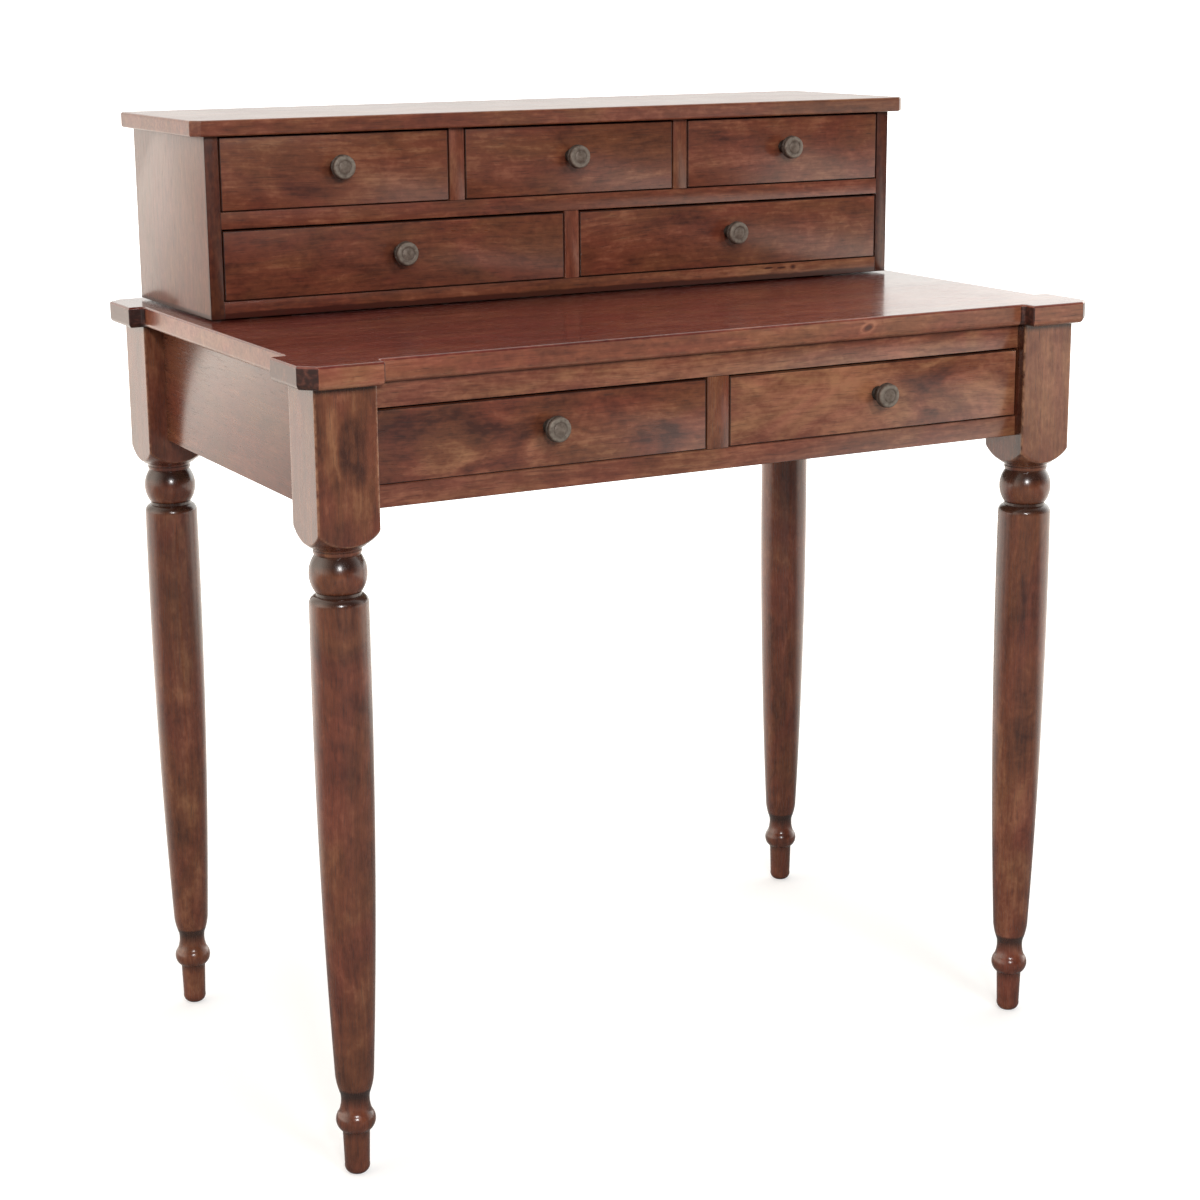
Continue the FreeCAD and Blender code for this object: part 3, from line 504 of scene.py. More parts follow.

# %% [markdown]
# ## Marks of this desk
# The marks are listed in metres, and could be scattered by chance instead, but
# an eye or a knot is what one knows a desk by. Faces that a mark has to meet are read
# from the solids. A dozen flames make the figure of the two wide drawers.

# %% Marks
LEG_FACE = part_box("leg_front_left")[0][1]
RIGHT_BLOCK_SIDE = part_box("leg_front_right")[0][0]
CASE_FRONT, CASE_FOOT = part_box("case_floor")[0][1:]
(TOP_LEFT_END, _, _), (_, _, TOP_LEVEL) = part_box("desk_top")
DRAWER_FACE = -0.25
KNOT = (0.1641, -0.2700, 0.7700)

LEG_MARKS = [
    # The eye on the left block: a pale ring, its dark oval, the black core.
    ((-0.3875, LEG_FACE, 0.7070), (0.0165, 0.03, 0.044), 9, 0.30, 0.15, 0.6),
    ((-0.3835, LEG_FACE, 0.7050), (0.0135, 0.03, 0.041), 9, -0.50, 0.2, 0.6),
    ((-0.3920, LEG_FACE, 0.6920), (0.0055, 0.03, 0.016), 9, -0.25, 0.3, 0.8),
    # Darker grain to the right of it, a paler foot to the block, a dark left edge.
    ((-0.3700, LEG_FACE, 0.7150), (0.0100, 0.03, 0.060), 4, -0.14, 0.7, 1.0),
    ((-0.3850, LEG_FACE, 0.6530), (0.0340, 0.03, 0.018), 0, 0.14, 0.8, 1.0),
    ((-0.4130, LEG_FACE, 0.7000), (0.0060, 0.03, 0.080), 0, -0.12, 0.5, 1.0),
    # The right block is paler, with shade painted on its side face where the rails meet it.
    ((0.4000, LEG_FACE, 0.6900), (0.0600, 0.05, 0.090), 0, 0.22, 0.5, 1.0),
    ((RIGHT_BLOCK_SIDE - 0.0015, -0.2590, 0.7000), (0.0035, 0.014, 0.200), 0, -0.6, 0.1, 1.0),
    # A dark streak low on the right leg.
    ((0.3721, -0.2520, 0.3134), (0.0200, 0.03, 0.060), 0, -0.22, 1.2, 1.0)]

# Flames as (x, z, half width, half height, turn, tone, ragged).
FLAMES = (
    (-0.273, 0.683, 0.060, 0.024, 12, 0.16, 1.2), (-0.200, 0.685, 0.044, 0.026, -20, 0.16, 1.2),
    (-0.049, 0.711, 0.060, 0.018, -12, 0.15, 1.2), (-0.228, 0.706, 0.090, 0.022, -12, -0.14, 1.2),
    (-0.135, 0.679, 0.090, 0.018, 8, -0.14, 1.2), (-0.060, 0.693, 0.026, 0.034, 25, -0.14, 1.2),
    (-0.350, 0.705, 0.060, 0.045, 0, -0.08, 1.2), (0.092, 0.694, 0.130, 0.036, -6, 0.10, 1.2),
    (0.240, 0.716, 0.075, 0.020, -10, -0.18, 1.2), (0.2375, 0.690, 0.014, 0.038, 40, -0.24, 0.8),
    (0.2225, 0.676, 0.045, 0.010, 25, 0.15, 1.0), (0.320, 0.700, 0.050, 0.040, 0, 0.10, 1.2))
DESK_FRONT_MARKS = [
    ((x, DRAWER_FACE, z), (wide, 0.03, high), turn, tone, ragged, 1.0)
    for x, z, wide, high, turn, tone, ragged in FLAMES]

EDGE_MARKS = [
    # The dark end of the left ear, then the knot: a pale ring round a black heart.
    ((TOP_LEFT_END, 0.0, 0.7690), (0.012, 4.0, 4.0), 0, -0.30, 0.1, 1.0),
    (KNOT, (0.013, 0.02, 0.0075), 20, 0.35, 0.3, 0.6),
    (KNOT, (0.008, 0.02, 0.0042), 20, -0.75, 0.3, 0.6)]
CASE_FOOT_MARKS = [
    # Shade painted along the foot of the case, where it stands clear of the desk on its pads, then three
    # nicks in its edge.
    ((0.0, CASE_FRONT, CASE_FOOT), (4.0, 0.02, 0.0060), 0, -0.65, 0.1, 0.7),
    ((0.2430, CASE_FRONT, 0.7945), (0.006, 0.01, 0.0012), 2, -0.6, 0.2, 0.6),
    ((0.2600, CASE_FRONT, 0.7940), (0.006, 0.01, 0.0012), 2, -0.6, 0.2, 0.6),
    ((0.2750, CASE_FRONT, 0.7940), (0.004, 0.01, 0.0030), 2, -0.4, 0.4, 0.9)]
CASE_SIDE_MARKS = [
    # The front edges of the sides are darker, and shade is painted along their foot.
    ((0.0, CASE_FRONT, 0.87), (4.0, 0.004, 2.0), 0, -0.17, 0.1, 0.5),
    ((0.0, CASE_FRONT, CASE_FOOT), (4.0, 0.4, 0.0045), 0, -0.45, 0.1, 0.7)]
TOP_MARKS = [
    # Two paler clouds in the writing top, to the right and at the front left.
    ((0.26, -0.14, TOP_LEVEL), (0.34, 0.24, 0.1), 0, 0.16, 0.4, 1.0),
    ((-0.2, -0.2, TOP_LEVEL), (0.3, 0.1, 0.1), 0, 0.05, 0.6, 1.0)]
print("marks on the legs:", len(LEG_MARKS), "and on the wide drawers:", len(DESK_FRONT_MARKS))

# %% Woods of this desk
LEG_WOOD = wood("Leg wood", "z", fibres=0.3, figure=0.55, drift=0.5, wander=0.04, gloss=0.25,
                coat=0.45, coat_gloss=0.2, marks=LEG_MARKS)
RAIL_WOOD = wood("Rail wood", "x")
APRON_WOOD = wood("Side apron wood", "y", stripes=0.25, fibres=0.3, mottle=0.2, gloss=0.21)
TOP_WOOD = wood("Desk top wood", "x", RED_STAIN, gloss=0.25, coat=0.4, coat_gloss=0.12,
                marks=TOP_MARKS)
EDGE_WOOD = wood("Top edge wood", "x", EDGE_STAIN, fibres=0.4, marks=EDGE_MARKS)
END_GRAIN_AND_SHADE_WOOD = wood("Dark corner wood", "x", END_GRAIN_AND_SHADE_STAIN, mottle=0.9, gloss=0.4, coat=0.1)
CASE_SIDE_WOOD = wood("Case side wood", "z", stripes=0.15, fibres=0.25, figure=0.1, drift=0.1,
                      gloss=0.31, marks=CASE_SIDE_MARKS)
CASE_UPRIGHT_WOOD = wood("Case divider wood", "z", fibres=0.3)
CASE_LEVEL_WOOD = wood("Case shelf wood", "x", marks=CASE_FOOT_MARKS)
SLAB_WOOD = wood("Case top wood", "x", coat=0.3)
SLAB_EDGE_WOOD = wood("Case top edge wood", "x", fibres=0.4)
DESK_FRONT_WOOD = wood("Desk drawer front wood", "x", stripes=0.25, fibres=0.35, figure=0.9,
                       wander=0.07, marks=DESK_FRONT_MARKS)
SMALL_FRONT_WOOD = wood("Small drawer front wood", "x", stripes=0.25, fibres=0.4, figure=0.55,
                        wander=0.04)
INNER_WOOD = {axis: wood(f"Inner wood {axis}", axis, DEAL, hue=0.3, gloss=0.6, coat=0.0, relief=0.2)
              for axis in "xyz"}
print("wood finishes:", len([item for item in bpy.data.materials if "wood" in item.name]))

# %% [markdown]
# ## Metal and felt
# The knobs are old castings: a brown patina clouds the grey metal, fingers keep the rim
# bright, and the skin is gritty from the mould. A plain metal would look new, so a noise mixes
# two colours and the stored wear does the rest, with shade painted dark on the neck, the side
# of the head and the groove round the dish. The pads under the case are pressed felt, matt
# with a faint fibre.

# %% Metal and felt
def old_pewter(name):
    """Cast knob metal: grey with clouds of brown patina, rubbed bright rims, and near-black painted
    shade where the knob stores it.
    """
    made, tree, shader, spot = new_finish(name)
    cloud = noise(tree, spot, "patina")
    base = blend(tree, window(tree, cloud, 0.3, 0.7), (0.105, 0.078, 0.062, 1), (0.205, 0.165, 0.135, 1))
    bright = maths(tree, "MULTIPLY", reads(tree, "rubbed"), window(tree, cloud, 0.2, 0.6))
    cleaned = blend(tree, maths(tree, "MULTIPLY", bright, 0.6), base, (0.27, 0.24, 0.20, 1))
    # Near-black shade painted on the neck, the side of the head and the groove round the dish.
    knob_shade = maths(tree, "MULTIPLY", reads(tree, "painted_shade"), 0.9)
    colour = blend(tree, knob_shade, cleaned, (0.022, 0.014, 0.010, 1))
    rough = maths(tree, "ADD", maths(tree, "MULTIPLY", cloud, 0.3), 0.36)
    bump = add(tree, "ShaderNodeBump", {
        "Strength": 0.25, "Distance": 0.4 * MM, "Height": noise(tree, spot, "casting grit")}).outputs[0]
    join(tree, {"Base Color": colour, "Roughness": rough, "Normal": bump}, shader.inputs)
    shader.inputs["Metallic"].default_value = 0.4
    return made


def felt(name):
    """Pressed dark felt: matt, with a faint fibre."""
    made, tree, shader, spot = new_finish(name)
    fibre = noise(tree, spot, "felt fibre")
    colour = blend(tree, fibre, (0.008, 0.007, 0.007, 1), (0.03, 0.027, 0.026, 1))
    join(tree, {"Base Color": colour}, shader.inputs)
    shader.inputs["Roughness"].default_value = 0.95
    return made


PEWTER = old_pewter("Knob pewter")
FELT = felt("Pad felt")
print("finishes in all:", len(bpy.data.materials))

# %% [markdown]
# ## Legs
# Each leg is one square of wood. The lathe leaves the square at the top, then turns
# a rounded shoulder, a bead, a long swelling shaft, an ankle and a ring over a plain
# foot. It could be copied with a spin and a cut, but one formula does both, arcs in
# the flat faces and all: at every height the radius is the smaller of the turned
# radius and the square's own radius.

# %% Leg shape
BLOCK = 30.0
ARRIS = 0.9
BLOCK_FOOT = 628.5
UNDER_TOP = 758.5
PER_SIDE = 28
RUN_OUT = 0.7
TURNING = outline(
    (7.6, 0.0), ((11.9, 9.0), 1.7, 7), ((12.9, 42.4), 0, 5), ((13.2, 43.6), 0, 1),
    ((15.8, 62.8), 4.3, 18), ((14.0, 80.8), -1.2, 9), ((18.3, 98.8), 0.6, 7),
    ((27.2, 557.5), 3.3, 44), ((22.4, 565.8), 1.5, 10), ((21.1, 566.0), 0, 1),
    ((20.9, 568.6), 0, 2), ((21.6, 569.3), 0, 1), ((21.0, 603.2), 5.3, 22), ((21.4, 603.7), 0, 1),
    ((22.3, 607.3), 0.2, 4), ((21.9, 607.9), 0, 1), ((26.7, 611.8), -0.9, 6), ((27.7, 612.9), 0, 1),
    ((43.2, BLOCK_FOOT), 1.3, 22), ((44.0, 632.0), 0, 2), ((44.0, UNDER_TOP), 0, 16))


def square_radius(angle, half, ease):
    """Distance from the middle to a square's edge at an angle, its corners being
    quarter circles of radius ease: half / cos on the flat, else the circle's far hit."""
    fold = np.abs((angle + math.pi / 4) % (math.pi / 2) - math.pi / 4)
    flat = half / np.cos(fold)
    centre = math.hypot(half - ease, half - ease)
    off = math.pi / 4 - fold
    inside = np.maximum(ease**2 - (centre * np.sin(off))**2, 0)
    corner = centre * np.cos(off) + np.sqrt(inside)
    return np.where(half * np.tan(fold) > half - ease, corner, flat)


def soft_least(first, second, blur):
    """The lesser of two arrays, rounded over where they differ by less than blur.

    With s the share of the first, which goes from 0 to 1 over that band, it is the
    mix of the two by s, less blur s (1 - s).
    """
    share = np.clip(0.5 + 0.5 * (second - first) / blur, 0, 1)
    return second * (1 - share) + first * share - blur * share * (1 - share)


def leg_angles(per_side):
    """Angles round the leg: for each side, 45 degrees times the sine of an even run
    from -90 to 90 degrees, which crowds them near the four arrises."""
    run = np.linspace(-1, 1, per_side, endpoint=False)
    side = np.sin(run * math.pi / 2) * math.pi / 4
    return np.concatenate([side + quarter * math.pi / 2 for quarter in range(4)])


print("turning:", len(TURNING), "rings of", 4 * PER_SIDE, "points")

# %% [markdown]
# ## Wear and painted shade on the legs
# The arrises of the square and the line where the shoulder dies into it are rubbed
# pale. Shade is painted into the grooves and the cove of the ankle, dark reflections onto the
# tops of the shoulder and the bead, and the shadow of the top onto the block. Weight paint could
# do this; worked out from the heights of the shape, it lands on the grooves exactly and on all
# four legs.

# %% Legs
GROOVES = np.array([43.0, 81.5, 565.9, 569.0, 603.4, 607.8])
GROOVE_WIDE = 0.8
# Painted bands: dark reflections on the tops of the shoulder and the bead, shade in the ankle's cove,
# and the top's shadow on the block.
SHADE_BANDS = ((557.5, 562.0), (587.0, 596.0), (69.0, 80.0), (753.0, 757.0))
SHADE_REST = 7
CREASE_WIDE = 1.2
ARRIS_REACH = 1.36
SHARP = math.radians(38)


def leg_painted_shade(height):
    """Shade painted at each height: a bell round each groove, and bands that rise to full
    strength from start to end and stop a little above."""
    painted_shade = 0.7 * np.exp(-((height - GROOVES[None, :]) / GROOVE_WIDE)**2).max(axis=1, keepdims=True)
    for start, end in SHADE_BANDS:
        rising = np.clip((height - start) / (end - start), 0, 1)
        painted_shade = np.maximum(painted_shade, np.where(height < end + SHADE_REST, 0.8 * rising, 0))
    return painted_shade


def make_leg(node):
    """Turned leg on its solid's axis: at each height and angle, the lesser of the
    turned radius and the square's."""
    middle = box_of(node)[2]
    angle = leg_angles(PER_SIDE)[None, :]
    turned, height = TURNING[:, :1], TURNING[:, 1:]
    square = square_radius(angle, BLOCK, ARRIS)
    radius = soft_least(turned, square, RUN_OUT)
    points = np.stack([middle[0] + radius * np.cos(angle) * MM,
                       middle[1] + radius * np.sin(angle) * MM,
                       np.broadcast_to(height * MM, radius.shape)], axis=-1)
    piece = grid_piece(f"{node}_turning", points)
    crease = 1 - np.abs(turned - square) / CREASE_WIDE
    arris = (square > BLOCK * ARRIS_REACH) & (height > BLOCK_FOOT - 4)
    worn(piece, np.maximum(crease, np.where(arris, 1.0, 0.0)))
    worn(piece, np.broadcast_to(leg_painted_shade(height), radius.shape), "painted_shade")
    piece.data.set_sharp_from_angle(angle=SHARP)
    return set_in(piece, node, [LEG_WOOD])


legs = [make_leg(node) for node in solids if node.startswith("leg_")]
print("legs:", len(legs), "of", len(legs[0].data.vertices), "vertices")

# %% [markdown]
# ## Desk top and case top
# Both slabs are one outline carried up a short edge profile. The desk top's outline
# steps out over each leg into an ear with a clipped corner. A bevel on the solid
# would do for a plain edge. Insetting the outline along its mitres also works for a
# moulded one, and keeps it even round every corner.

# %% Outlines
def inset_corners(corners, inset):
    """Corners moved inwards so that every side of the outline moves by inset.

    With n1 and n2 the outward normals of a corner's two sides, it moves back by
    inset * (n1 + n2) / (1 + n1 . n2).
    """
    before = corners - np.roll(corners, 1, axis=0)
    before /= np.linalg.norm(before, axis=1)[:, None]
    normal = np.stack([before[:, 1], -before[:, 0]], axis=1)
    following = np.roll(normal, -1, axis=0)
    return corners - inset * (normal + following) / (1 + (normal * following).sum(1))[:, None]


def round_corners(corners, radii, steps=4):
    """Each corner becomes an arc of its radius that touches both sides.

    An arc runs from its first point to its last by turning the spoke between them
    in equal shares of the whole angle.
    """
    before = np.roll(corners, 1, axis=0) - corners
    after = np.roll(corners, -1, axis=0) - corners
    before /= np.linalg.norm(before, axis=1)[:, None]
    after /= np.linalg.norm(after, axis=1)[:, None]
    half = np.arccos(np.clip((before * after).sum(1), -1, 1))[:, None] / 2
    radii = np.array(radii)[:, None]
    inward = (before + after) / np.linalg.norm(before + after, axis=1)[:, None]
    middle = corners + inward * radii / np.sin(half)
    first = (corners + before * radii / np.tan(half) - middle)[:, None]
    last = (corners + after * radii / np.tan(half) - middle)[:, None]
    whole = (math.pi - 2 * half)[:, None]
    share = np.linspace(0, 1, steps + 1)[None, :, None]
    spokes = (np.sin((1 - share) * whole) * first + np.sin(share * whole) * last) / np.sin(whole)
    return (middle[:, None] + spokes).reshape(-1, 2)


def eared_plan(half_wide, half_deep, ear, step, clip):
    """Corners and radii of the desk top, anticlockwise: one quarter and its mirror images."""
    quarter = np.array([
        (half_wide - step, half_deep - ear), (half_wide, half_deep - ear),
        (half_wide, half_deep - clip), (half_wide - clip, half_deep),
        (half_wide - ear, half_deep), (half_wide - ear, half_deep - step)])
    radii = [4.0, 1.2, 1.0, 1.0, 1.2, 4.0]
    mirrors = [quarter, quarter[::-1] * (-1, 1), quarter * (-1, -1), quarter[::-1] * (1, -1)]
    return np.concatenate(mirrors), radii * 4


def clipped_plan(low, high, clip):
    """Corners and radii of a rectangle with its corners clipped off, anticlockwise."""
    corners = np.array([
        (high[0], low[1] + clip), (high[0], high[1] - clip), (high[0] - clip, high[1]),
        (low[0] + clip, high[1]), (low[0], high[1] - clip), (low[0], low[1] + clip),
        (low[0] + clip, low[1]), (high[0] - clip, low[1])])
    return corners, [1.5] * len(corners)


print("outline tools ready")

# %% [markdown]
# ## Three woods on one slab
# A slab's top shows long grain with a deep polish and its edge is paler. On the desk top
# the faces under 25 mm take a near-black wood: on the clipped corners and the steps that face
# sideways this is end grain, which drinks stain; on the steps that face front or back it is
# painted shade. Separate pieces would leave seams, so each face of one mesh picks its finish by
# its place.

# %% Slabs
TOP_BAND = 2
EASED_AT, EASED_WIDE = 0.7, 0.4


def make_slab(name, corners, radii, stations, short=0):
    """One ring for each station (inset, height): the plan inset, then its corners rounded.

    A ring's outer corners lose the inset from their radius and its inner corners
    gain it, so that the edge keeps its profile all round. Finish 0 is for the top,
    1 for the edge, and 2 for edge faces less than short millimetres long.
    """
    ahead = np.roll(corners, -1, axis=0) - corners
    behind = corners - np.roll(corners, 1, axis=0)
    outer = behind[:, 0] * ahead[:, 1] - behind[:, 1] * ahead[:, 0] > 0
    radii = np.array(radii)
    rings = []
    for inset, height in stations:
        fitted = np.where(outer, np.maximum(radii - inset, 0.05), radii + inset)
        plan = round_corners(inset_corners(corners, inset), fitted)
        rings.append(np.column_stack([plan, np.full(len(plan), height)]))
    points = np.stack(rings) * MM
    piece = grid_piece(name, points)
    side = np.linalg.norm(np.roll(points[0], -1, axis=0) - points[0], axis=1) / MM
    finish = np.where(side[None, :] < short, 2, 1) * np.ones((len(points) - 1, 1), int)
    finish[stations[1:, 1] > stations[-1, 1] - TOP_BAND] = 0
    finish = np.append(finish.ravel(), [1, 0]).astype(np.int32)
    piece.data.polygons.foreach_set("material_index", finish)
    eased = 0.4 * np.exp(-((stations[:, :1] - EASED_AT) / EASED_WIDE)**2)
    worn(piece, np.broadcast_to(eased, points.shape[:2]))
    even = piece.modifiers.new("Even shading", "WEIGHTED_NORMAL")
    even.keep_sharp = True
    return piece


top_low, top_high, _ = (corner / MM for corner in box_of("desk_top"))
top_edge = outline(
    (4.4, top_low[2]), ((0.6, top_low[2] + 2.7), -0.7, 4), ((0.0, top_low[2] + 5.0), -0.15, 2),
    ((0.0, top_high[2] - 2.2), 0, 3), ((2.2, top_high[2]), -0.64, 5))
top_plan = eared_plan(top_high[0], top_high[1], ear=77.5, step=16.0, clip=14.4)
# Faces under 25 mm get the near-black wood: end grain on the clips and side-facing steps, painted shade
# on the steps that face front or back.
desk_top = make_slab("desk_top_slab", *top_plan, top_edge, short=25)
set_in(desk_top, "desk_top", [TOP_WOOD, EDGE_WOOD, END_GRAIN_AND_SHADE_WOOD])

slab_low, slab_high, _ = (corner / MM for corner in box_of("case_top"))
slab_edge = outline(
    (2.0, slab_low[2]), ((0.0, slab_low[2] + 2.0), -0.5, 4), ((0.0, slab_high[2] - 2.2), 0, 3),
    ((2.2, slab_high[2]), -0.64, 5))
case_top = make_slab("case_top_slab", *clipped_plan(slab_low, slab_high, 8.5), slab_edge)
set_in(case_top, "case_top", [SLAB_WOOD, SLAB_EDGE_WOOD, SLAB_EDGE_WOOD])
print("slabs:", desk_top.name, case_top.name)

# %% [markdown]
# ## Knobs
# The knobs are small castings, all from one pattern: a round foot on the drawer, a
# thin neck, a flaring head, and a face with a raised rim round a shallow dish. A
# profile carried round would look machine-perfect, so a few slow waves bend it.

# %% Knob shape
FACE = 22.0
RIM, DISH = 9.4, 6.6
NECK_TOP = 14.5
KNOB_ROUND = 56
SEED_STEP = 1.7
CAST_SHARP = math.radians(50)
KNOB = outline(
    (0.2, 0.0), ((7.0, 0.0), 0, 2), ((6.9, 1.6), 0.3, 3), ((5.3, 4.6), -0.5, 4),
    ((5.2, 9.2), -0.2, 4), ((7.4, 12.2), -0.5, 4), ((11.4, 13.8), -0.2, 5), ((12.2, 15.0), 0.4, 4),
    ((12.2, 16.4), 0, 2), ((11.3, 16.9), -0.1, 2), ((11.9, 17.5), 0.1, 2), ((11.7, 19.6), 0.1, 3),
    ((RIM, FACE - 0.4), 0.7, 8), ((7.4, FACE - 0.2), 0, 2), ((DISH, FACE - 0.6), -0.1, 3),
    ((5.6, FACE - 0.3), -0.1, 3), ((0.2, FACE + 0.3), 0.3, 6))


def knob_painted_shade(radius, reach):
    """Shade painted by place on the profile: full on the neck, which lies in the head's
    shadow, some on the side of the head, and a little in the groove round the dish."""
    neck = np.clip((NECK_TOP - reach) / 2.5, 0, 1)
    groove = 0.3 * np.exp(-((radius - DISH) / 0.7)**2)
    side = 0.6 * np.clip((20.2 - reach) / 1.5, 0, 1)
    return np.maximum(neck + groove, side)


def make_knob(node, seed):
    """Knob on its solid's axis: the profile (radius, reach) carried round.

    Three waves round it swell the radius by 0.6 percent, and five by 0.4 percent,
    which twist along the reach; the seed turns both.
    """
    _, high, middle = box_of(node)
    angle = np.linspace(0, 2 * math.pi, KNOB_ROUND, endpoint=False)[None, :]
    radius, reach = KNOB[:, :1], KNOB[:, 1:]
    wave = 1 + 0.006 * np.sin(3 * angle + seed) + 0.004 * np.sin(5 * angle + 2.3 * seed + reach / 4)
    waved = radius * wave
    points = np.stack([middle[0] - waved * np.cos(angle) * MM,
                       np.broadcast_to(high[1] - reach * MM, waved.shape),
                       middle[2] + waved * np.sin(angle) * MM], axis=-1)
    piece = grid_piece(f"{node}_cast", points)
    rim = np.exp(-((radius - RIM) / 1.6)**2 - ((reach - FACE) / 1.2)**2)
    worn(piece, np.broadcast_to(rim, waved.shape))
    worn(piece, np.broadcast_to(knob_painted_shade(radius, reach), waved.shape), "painted_shade")
    piece.data.set_sharp_from_angle(angle=CAST_SHARP)
    return set_in(piece, node, [PEWTER])


knobs = [make_knob(node, number * SEED_STEP)
         for number, node in enumerate(solids) if node.endswith("_knob")]
print("knobs:", len(knobs))

# %% [markdown]
# ## Boards
# Rails, aprons, case boards, drawers and runners are straight joinery. Their solids
# hold every tenon, rabbet and groove, so each board is a welded copy of its solid
# with a bevel for the arris that the plane takes off. The bevel's own faces get a second
# version of the finish with shade painted in, so that the gaps round the drawers read dark.

# %% Board tools
# Depth of the shade painted on bevel faces, deeper round the drawer fronts so that their gaps read dark.
FRONT_ARRIS_SHADE, BOARD_ARRIS_SHADE = 0.85, 0.55
WELD = 2e-6


def arris_version(finish, depth):
    """Copy of a wood finish for bevel faces: its painted shade is one depth instead of a layer."""
    name = f"{finish.name}, arris"
    if name in bpy.data.materials:
        return bpy.data.materials[name]
    made = finish.copy()
    made.name = name
    tree = made.node_tree
    reader = next(item for item in tree.nodes if getattr(item, "attribute_name", "") == "painted_shade")
    painted_shade = reader.outputs["Fac"].links[0].to_socket
    tree.links.remove(painted_shade.links[0])
    painted_shade.default_value = depth
    return made


def welded(node, smooth):
    """Copy of a solid's mesh with its doubles merged and its flat faces made whole."""
    mesh = solids[node].data.copy()
    mesh.name = f"{node}_board"
    shape = bmesh.new()
    shape.from_mesh(mesh)
    bmesh.ops.remove_doubles(shape, verts=shape.verts, dist=WELD)
    bmesh.ops.dissolve_limit(shape, angle_limit=math.radians(1), verts=shape.verts, edges=shape.edges)
    for face in shape.faces:
        face.smooth = smooth
    shape.to_mesh(mesh)
    shape.free()
    return mesh


def make_board(node, slot, finish, ease):
    """Welded copy of a solid with every arris eased by so many millimetres.

    Boards inside stay flat shaded, because the three boards of a drawer box are one
    mesh, and shading them smooth would bend the light where they meet.
    """
    piece = placed(f"{node}_board", welded(node, slot != "inner_wood"))
    finishes = [finish]
    if finish is not FELT:
        finishes.append(arris_version(finish, FRONT_ARRIS_SHADE if slot == "front_wood" else BOARD_ARRIS_SHADE))
    set_in(piece, node, finishes)
    planed = piece.modifiers.new("Planed arris", "BEVEL")
    planed.width = ease * MM
    planed.segments = 2
    planed.limit_method = "ANGLE"
    planed.angle_limit = math.radians(40)
    planed.harden_normals = True
    planed.material = 1 if len(finishes) > 1 else -1
    return piece


print("board tools ready")

# %% All the boards
DRAWERS = sorted(node.removesuffix("_knob") for node in solids if node.endswith("_knob"))
BOARDS = [
    ("frame_wood", APRON_WOOD, 0.6, ["side_apron_left", "side_apron_right"]),
    ("frame_wood", RAIL_WOOD, 0.6, ["back_apron", "front_top_rail", "front_bottom_rail"]),
    ("frame_wood", LEG_WOOD, 0.4, ["front_divider"]),
    ("case_wood", CASE_SIDE_WOOD, 0.4, ["case_side_left", "case_side_right"]),
    ("case_wood", CASE_UPRIGHT_WOOD, 0.4, [
        "upper_divider_left", "upper_divider_right", "lower_divider"]),
    ("case_wood", CASE_LEVEL_WOOD, 0.4, ["case_floor", "case_shelf"]),
    ("inner_wood", INNER_WOOD["y"], 0.5, [
        "runner_left", "runner_centre", "runner_right", "kicker_left", "kicker_centre",
        "kicker_right", "top_fixing_blocks"]),
    ("inner_wood", INNER_WOOD["x"], 0.3, ["case_back"]),
    ("pad_felt", FELT, 0.3, ["case_pads"])]
for drawer in DRAWERS:
    front_wood = DESK_FRONT_WOOD if drawer.startswith("desk") else SMALL_FRONT_WOOD
    BOARDS.append(("front_wood", front_wood, 0.8, [f"{drawer}_front"]))
    BOARDS.append(("inner_wood", INNER_WOOD["y"], 0.5, [f"{drawer}_box"]))
    BOARDS.append(("inner_wood", INNER_WOOD["x"], 0.3, [f"{drawer}_bottom"]))

boards = [make_board(node, slot, finish, ease) for slot, finish, ease, nodes in BOARDS for node in nodes]
print("boards:", len(boards))

# %% [markdown]
# ## Screws and pins
# Each knob is held from inside the drawer by a round-headed screw, and the thin back
# of the case by a row of small pins. Only their heads show. They could be spheres
# cut in half; a short profile copied to every spot is lighter and closed.

# %% Heads
HEAD = outline((1.0, 0.0), ((0.95, 0.25), 0.03, 2), ((0.25, 0.62), 0.12, 5), ((0.01, 0.64), 0, 1))
HEAD_ROUND = 20
SCREW_HEAD, PIN_HEAD = 4.0, 1.6
PINS_ACROSS = 9
PIN_INSET = np.array((0.006, 0.0, 0.007))


def make_heads(name, node, spots, radius, metal):
    """Domed heads at spots on a face that looks along +Y.

    With (r, h) the profile in shares of the radius and a the angle round it, a point
    is spot + radius * (r cos a, h, r sin a), and a runs backwards so that the faces
    look outwards.
    """
    angle = -np.linspace(0, 2 * math.pi, HEAD_ROUND, endpoint=False)[None, :]
    reach, rise = HEAD[:, :1], HEAD[:, 1:]
    shape = np.stack([reach * np.cos(angle), np.broadcast_to(rise, (len(HEAD), HEAD_ROUND)),
                      reach * np.sin(angle)], axis=-1)
    points = np.array(spots, float)[:, None, None, :] + radius * MM * shape[None]
    heads = grid_piece(name, points)
    heads.data.set_sharp_from_angle(angle=CAST_SHARP)
    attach(heads, solids[node]["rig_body"])
    heads.data.materials.append(metal)
    return heads


def knob_spot(knob):
    """Middle of the inner face of the drawer's front, behind its knob."""
    middle = box_of(knob)[2]
    return [(middle[0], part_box(knob.replace("_knob", "_front"))[1][1], middle[2])]


def pin_spots(node):
    """Pins along the top and foot of a panel, and one halfway up each end."""
    low, high, _ = box_of(node)
    (left, _, foot), (right, _, head) = low + PIN_INSET, high - PIN_INSET
    across = np.linspace(left, right, PINS_ACROSS)
    rows = [(x, high[1], z) for z in (foot, head) for x in across]
    return rows + [(x, high[1], (foot + head) / 2) for x in (left, right)]


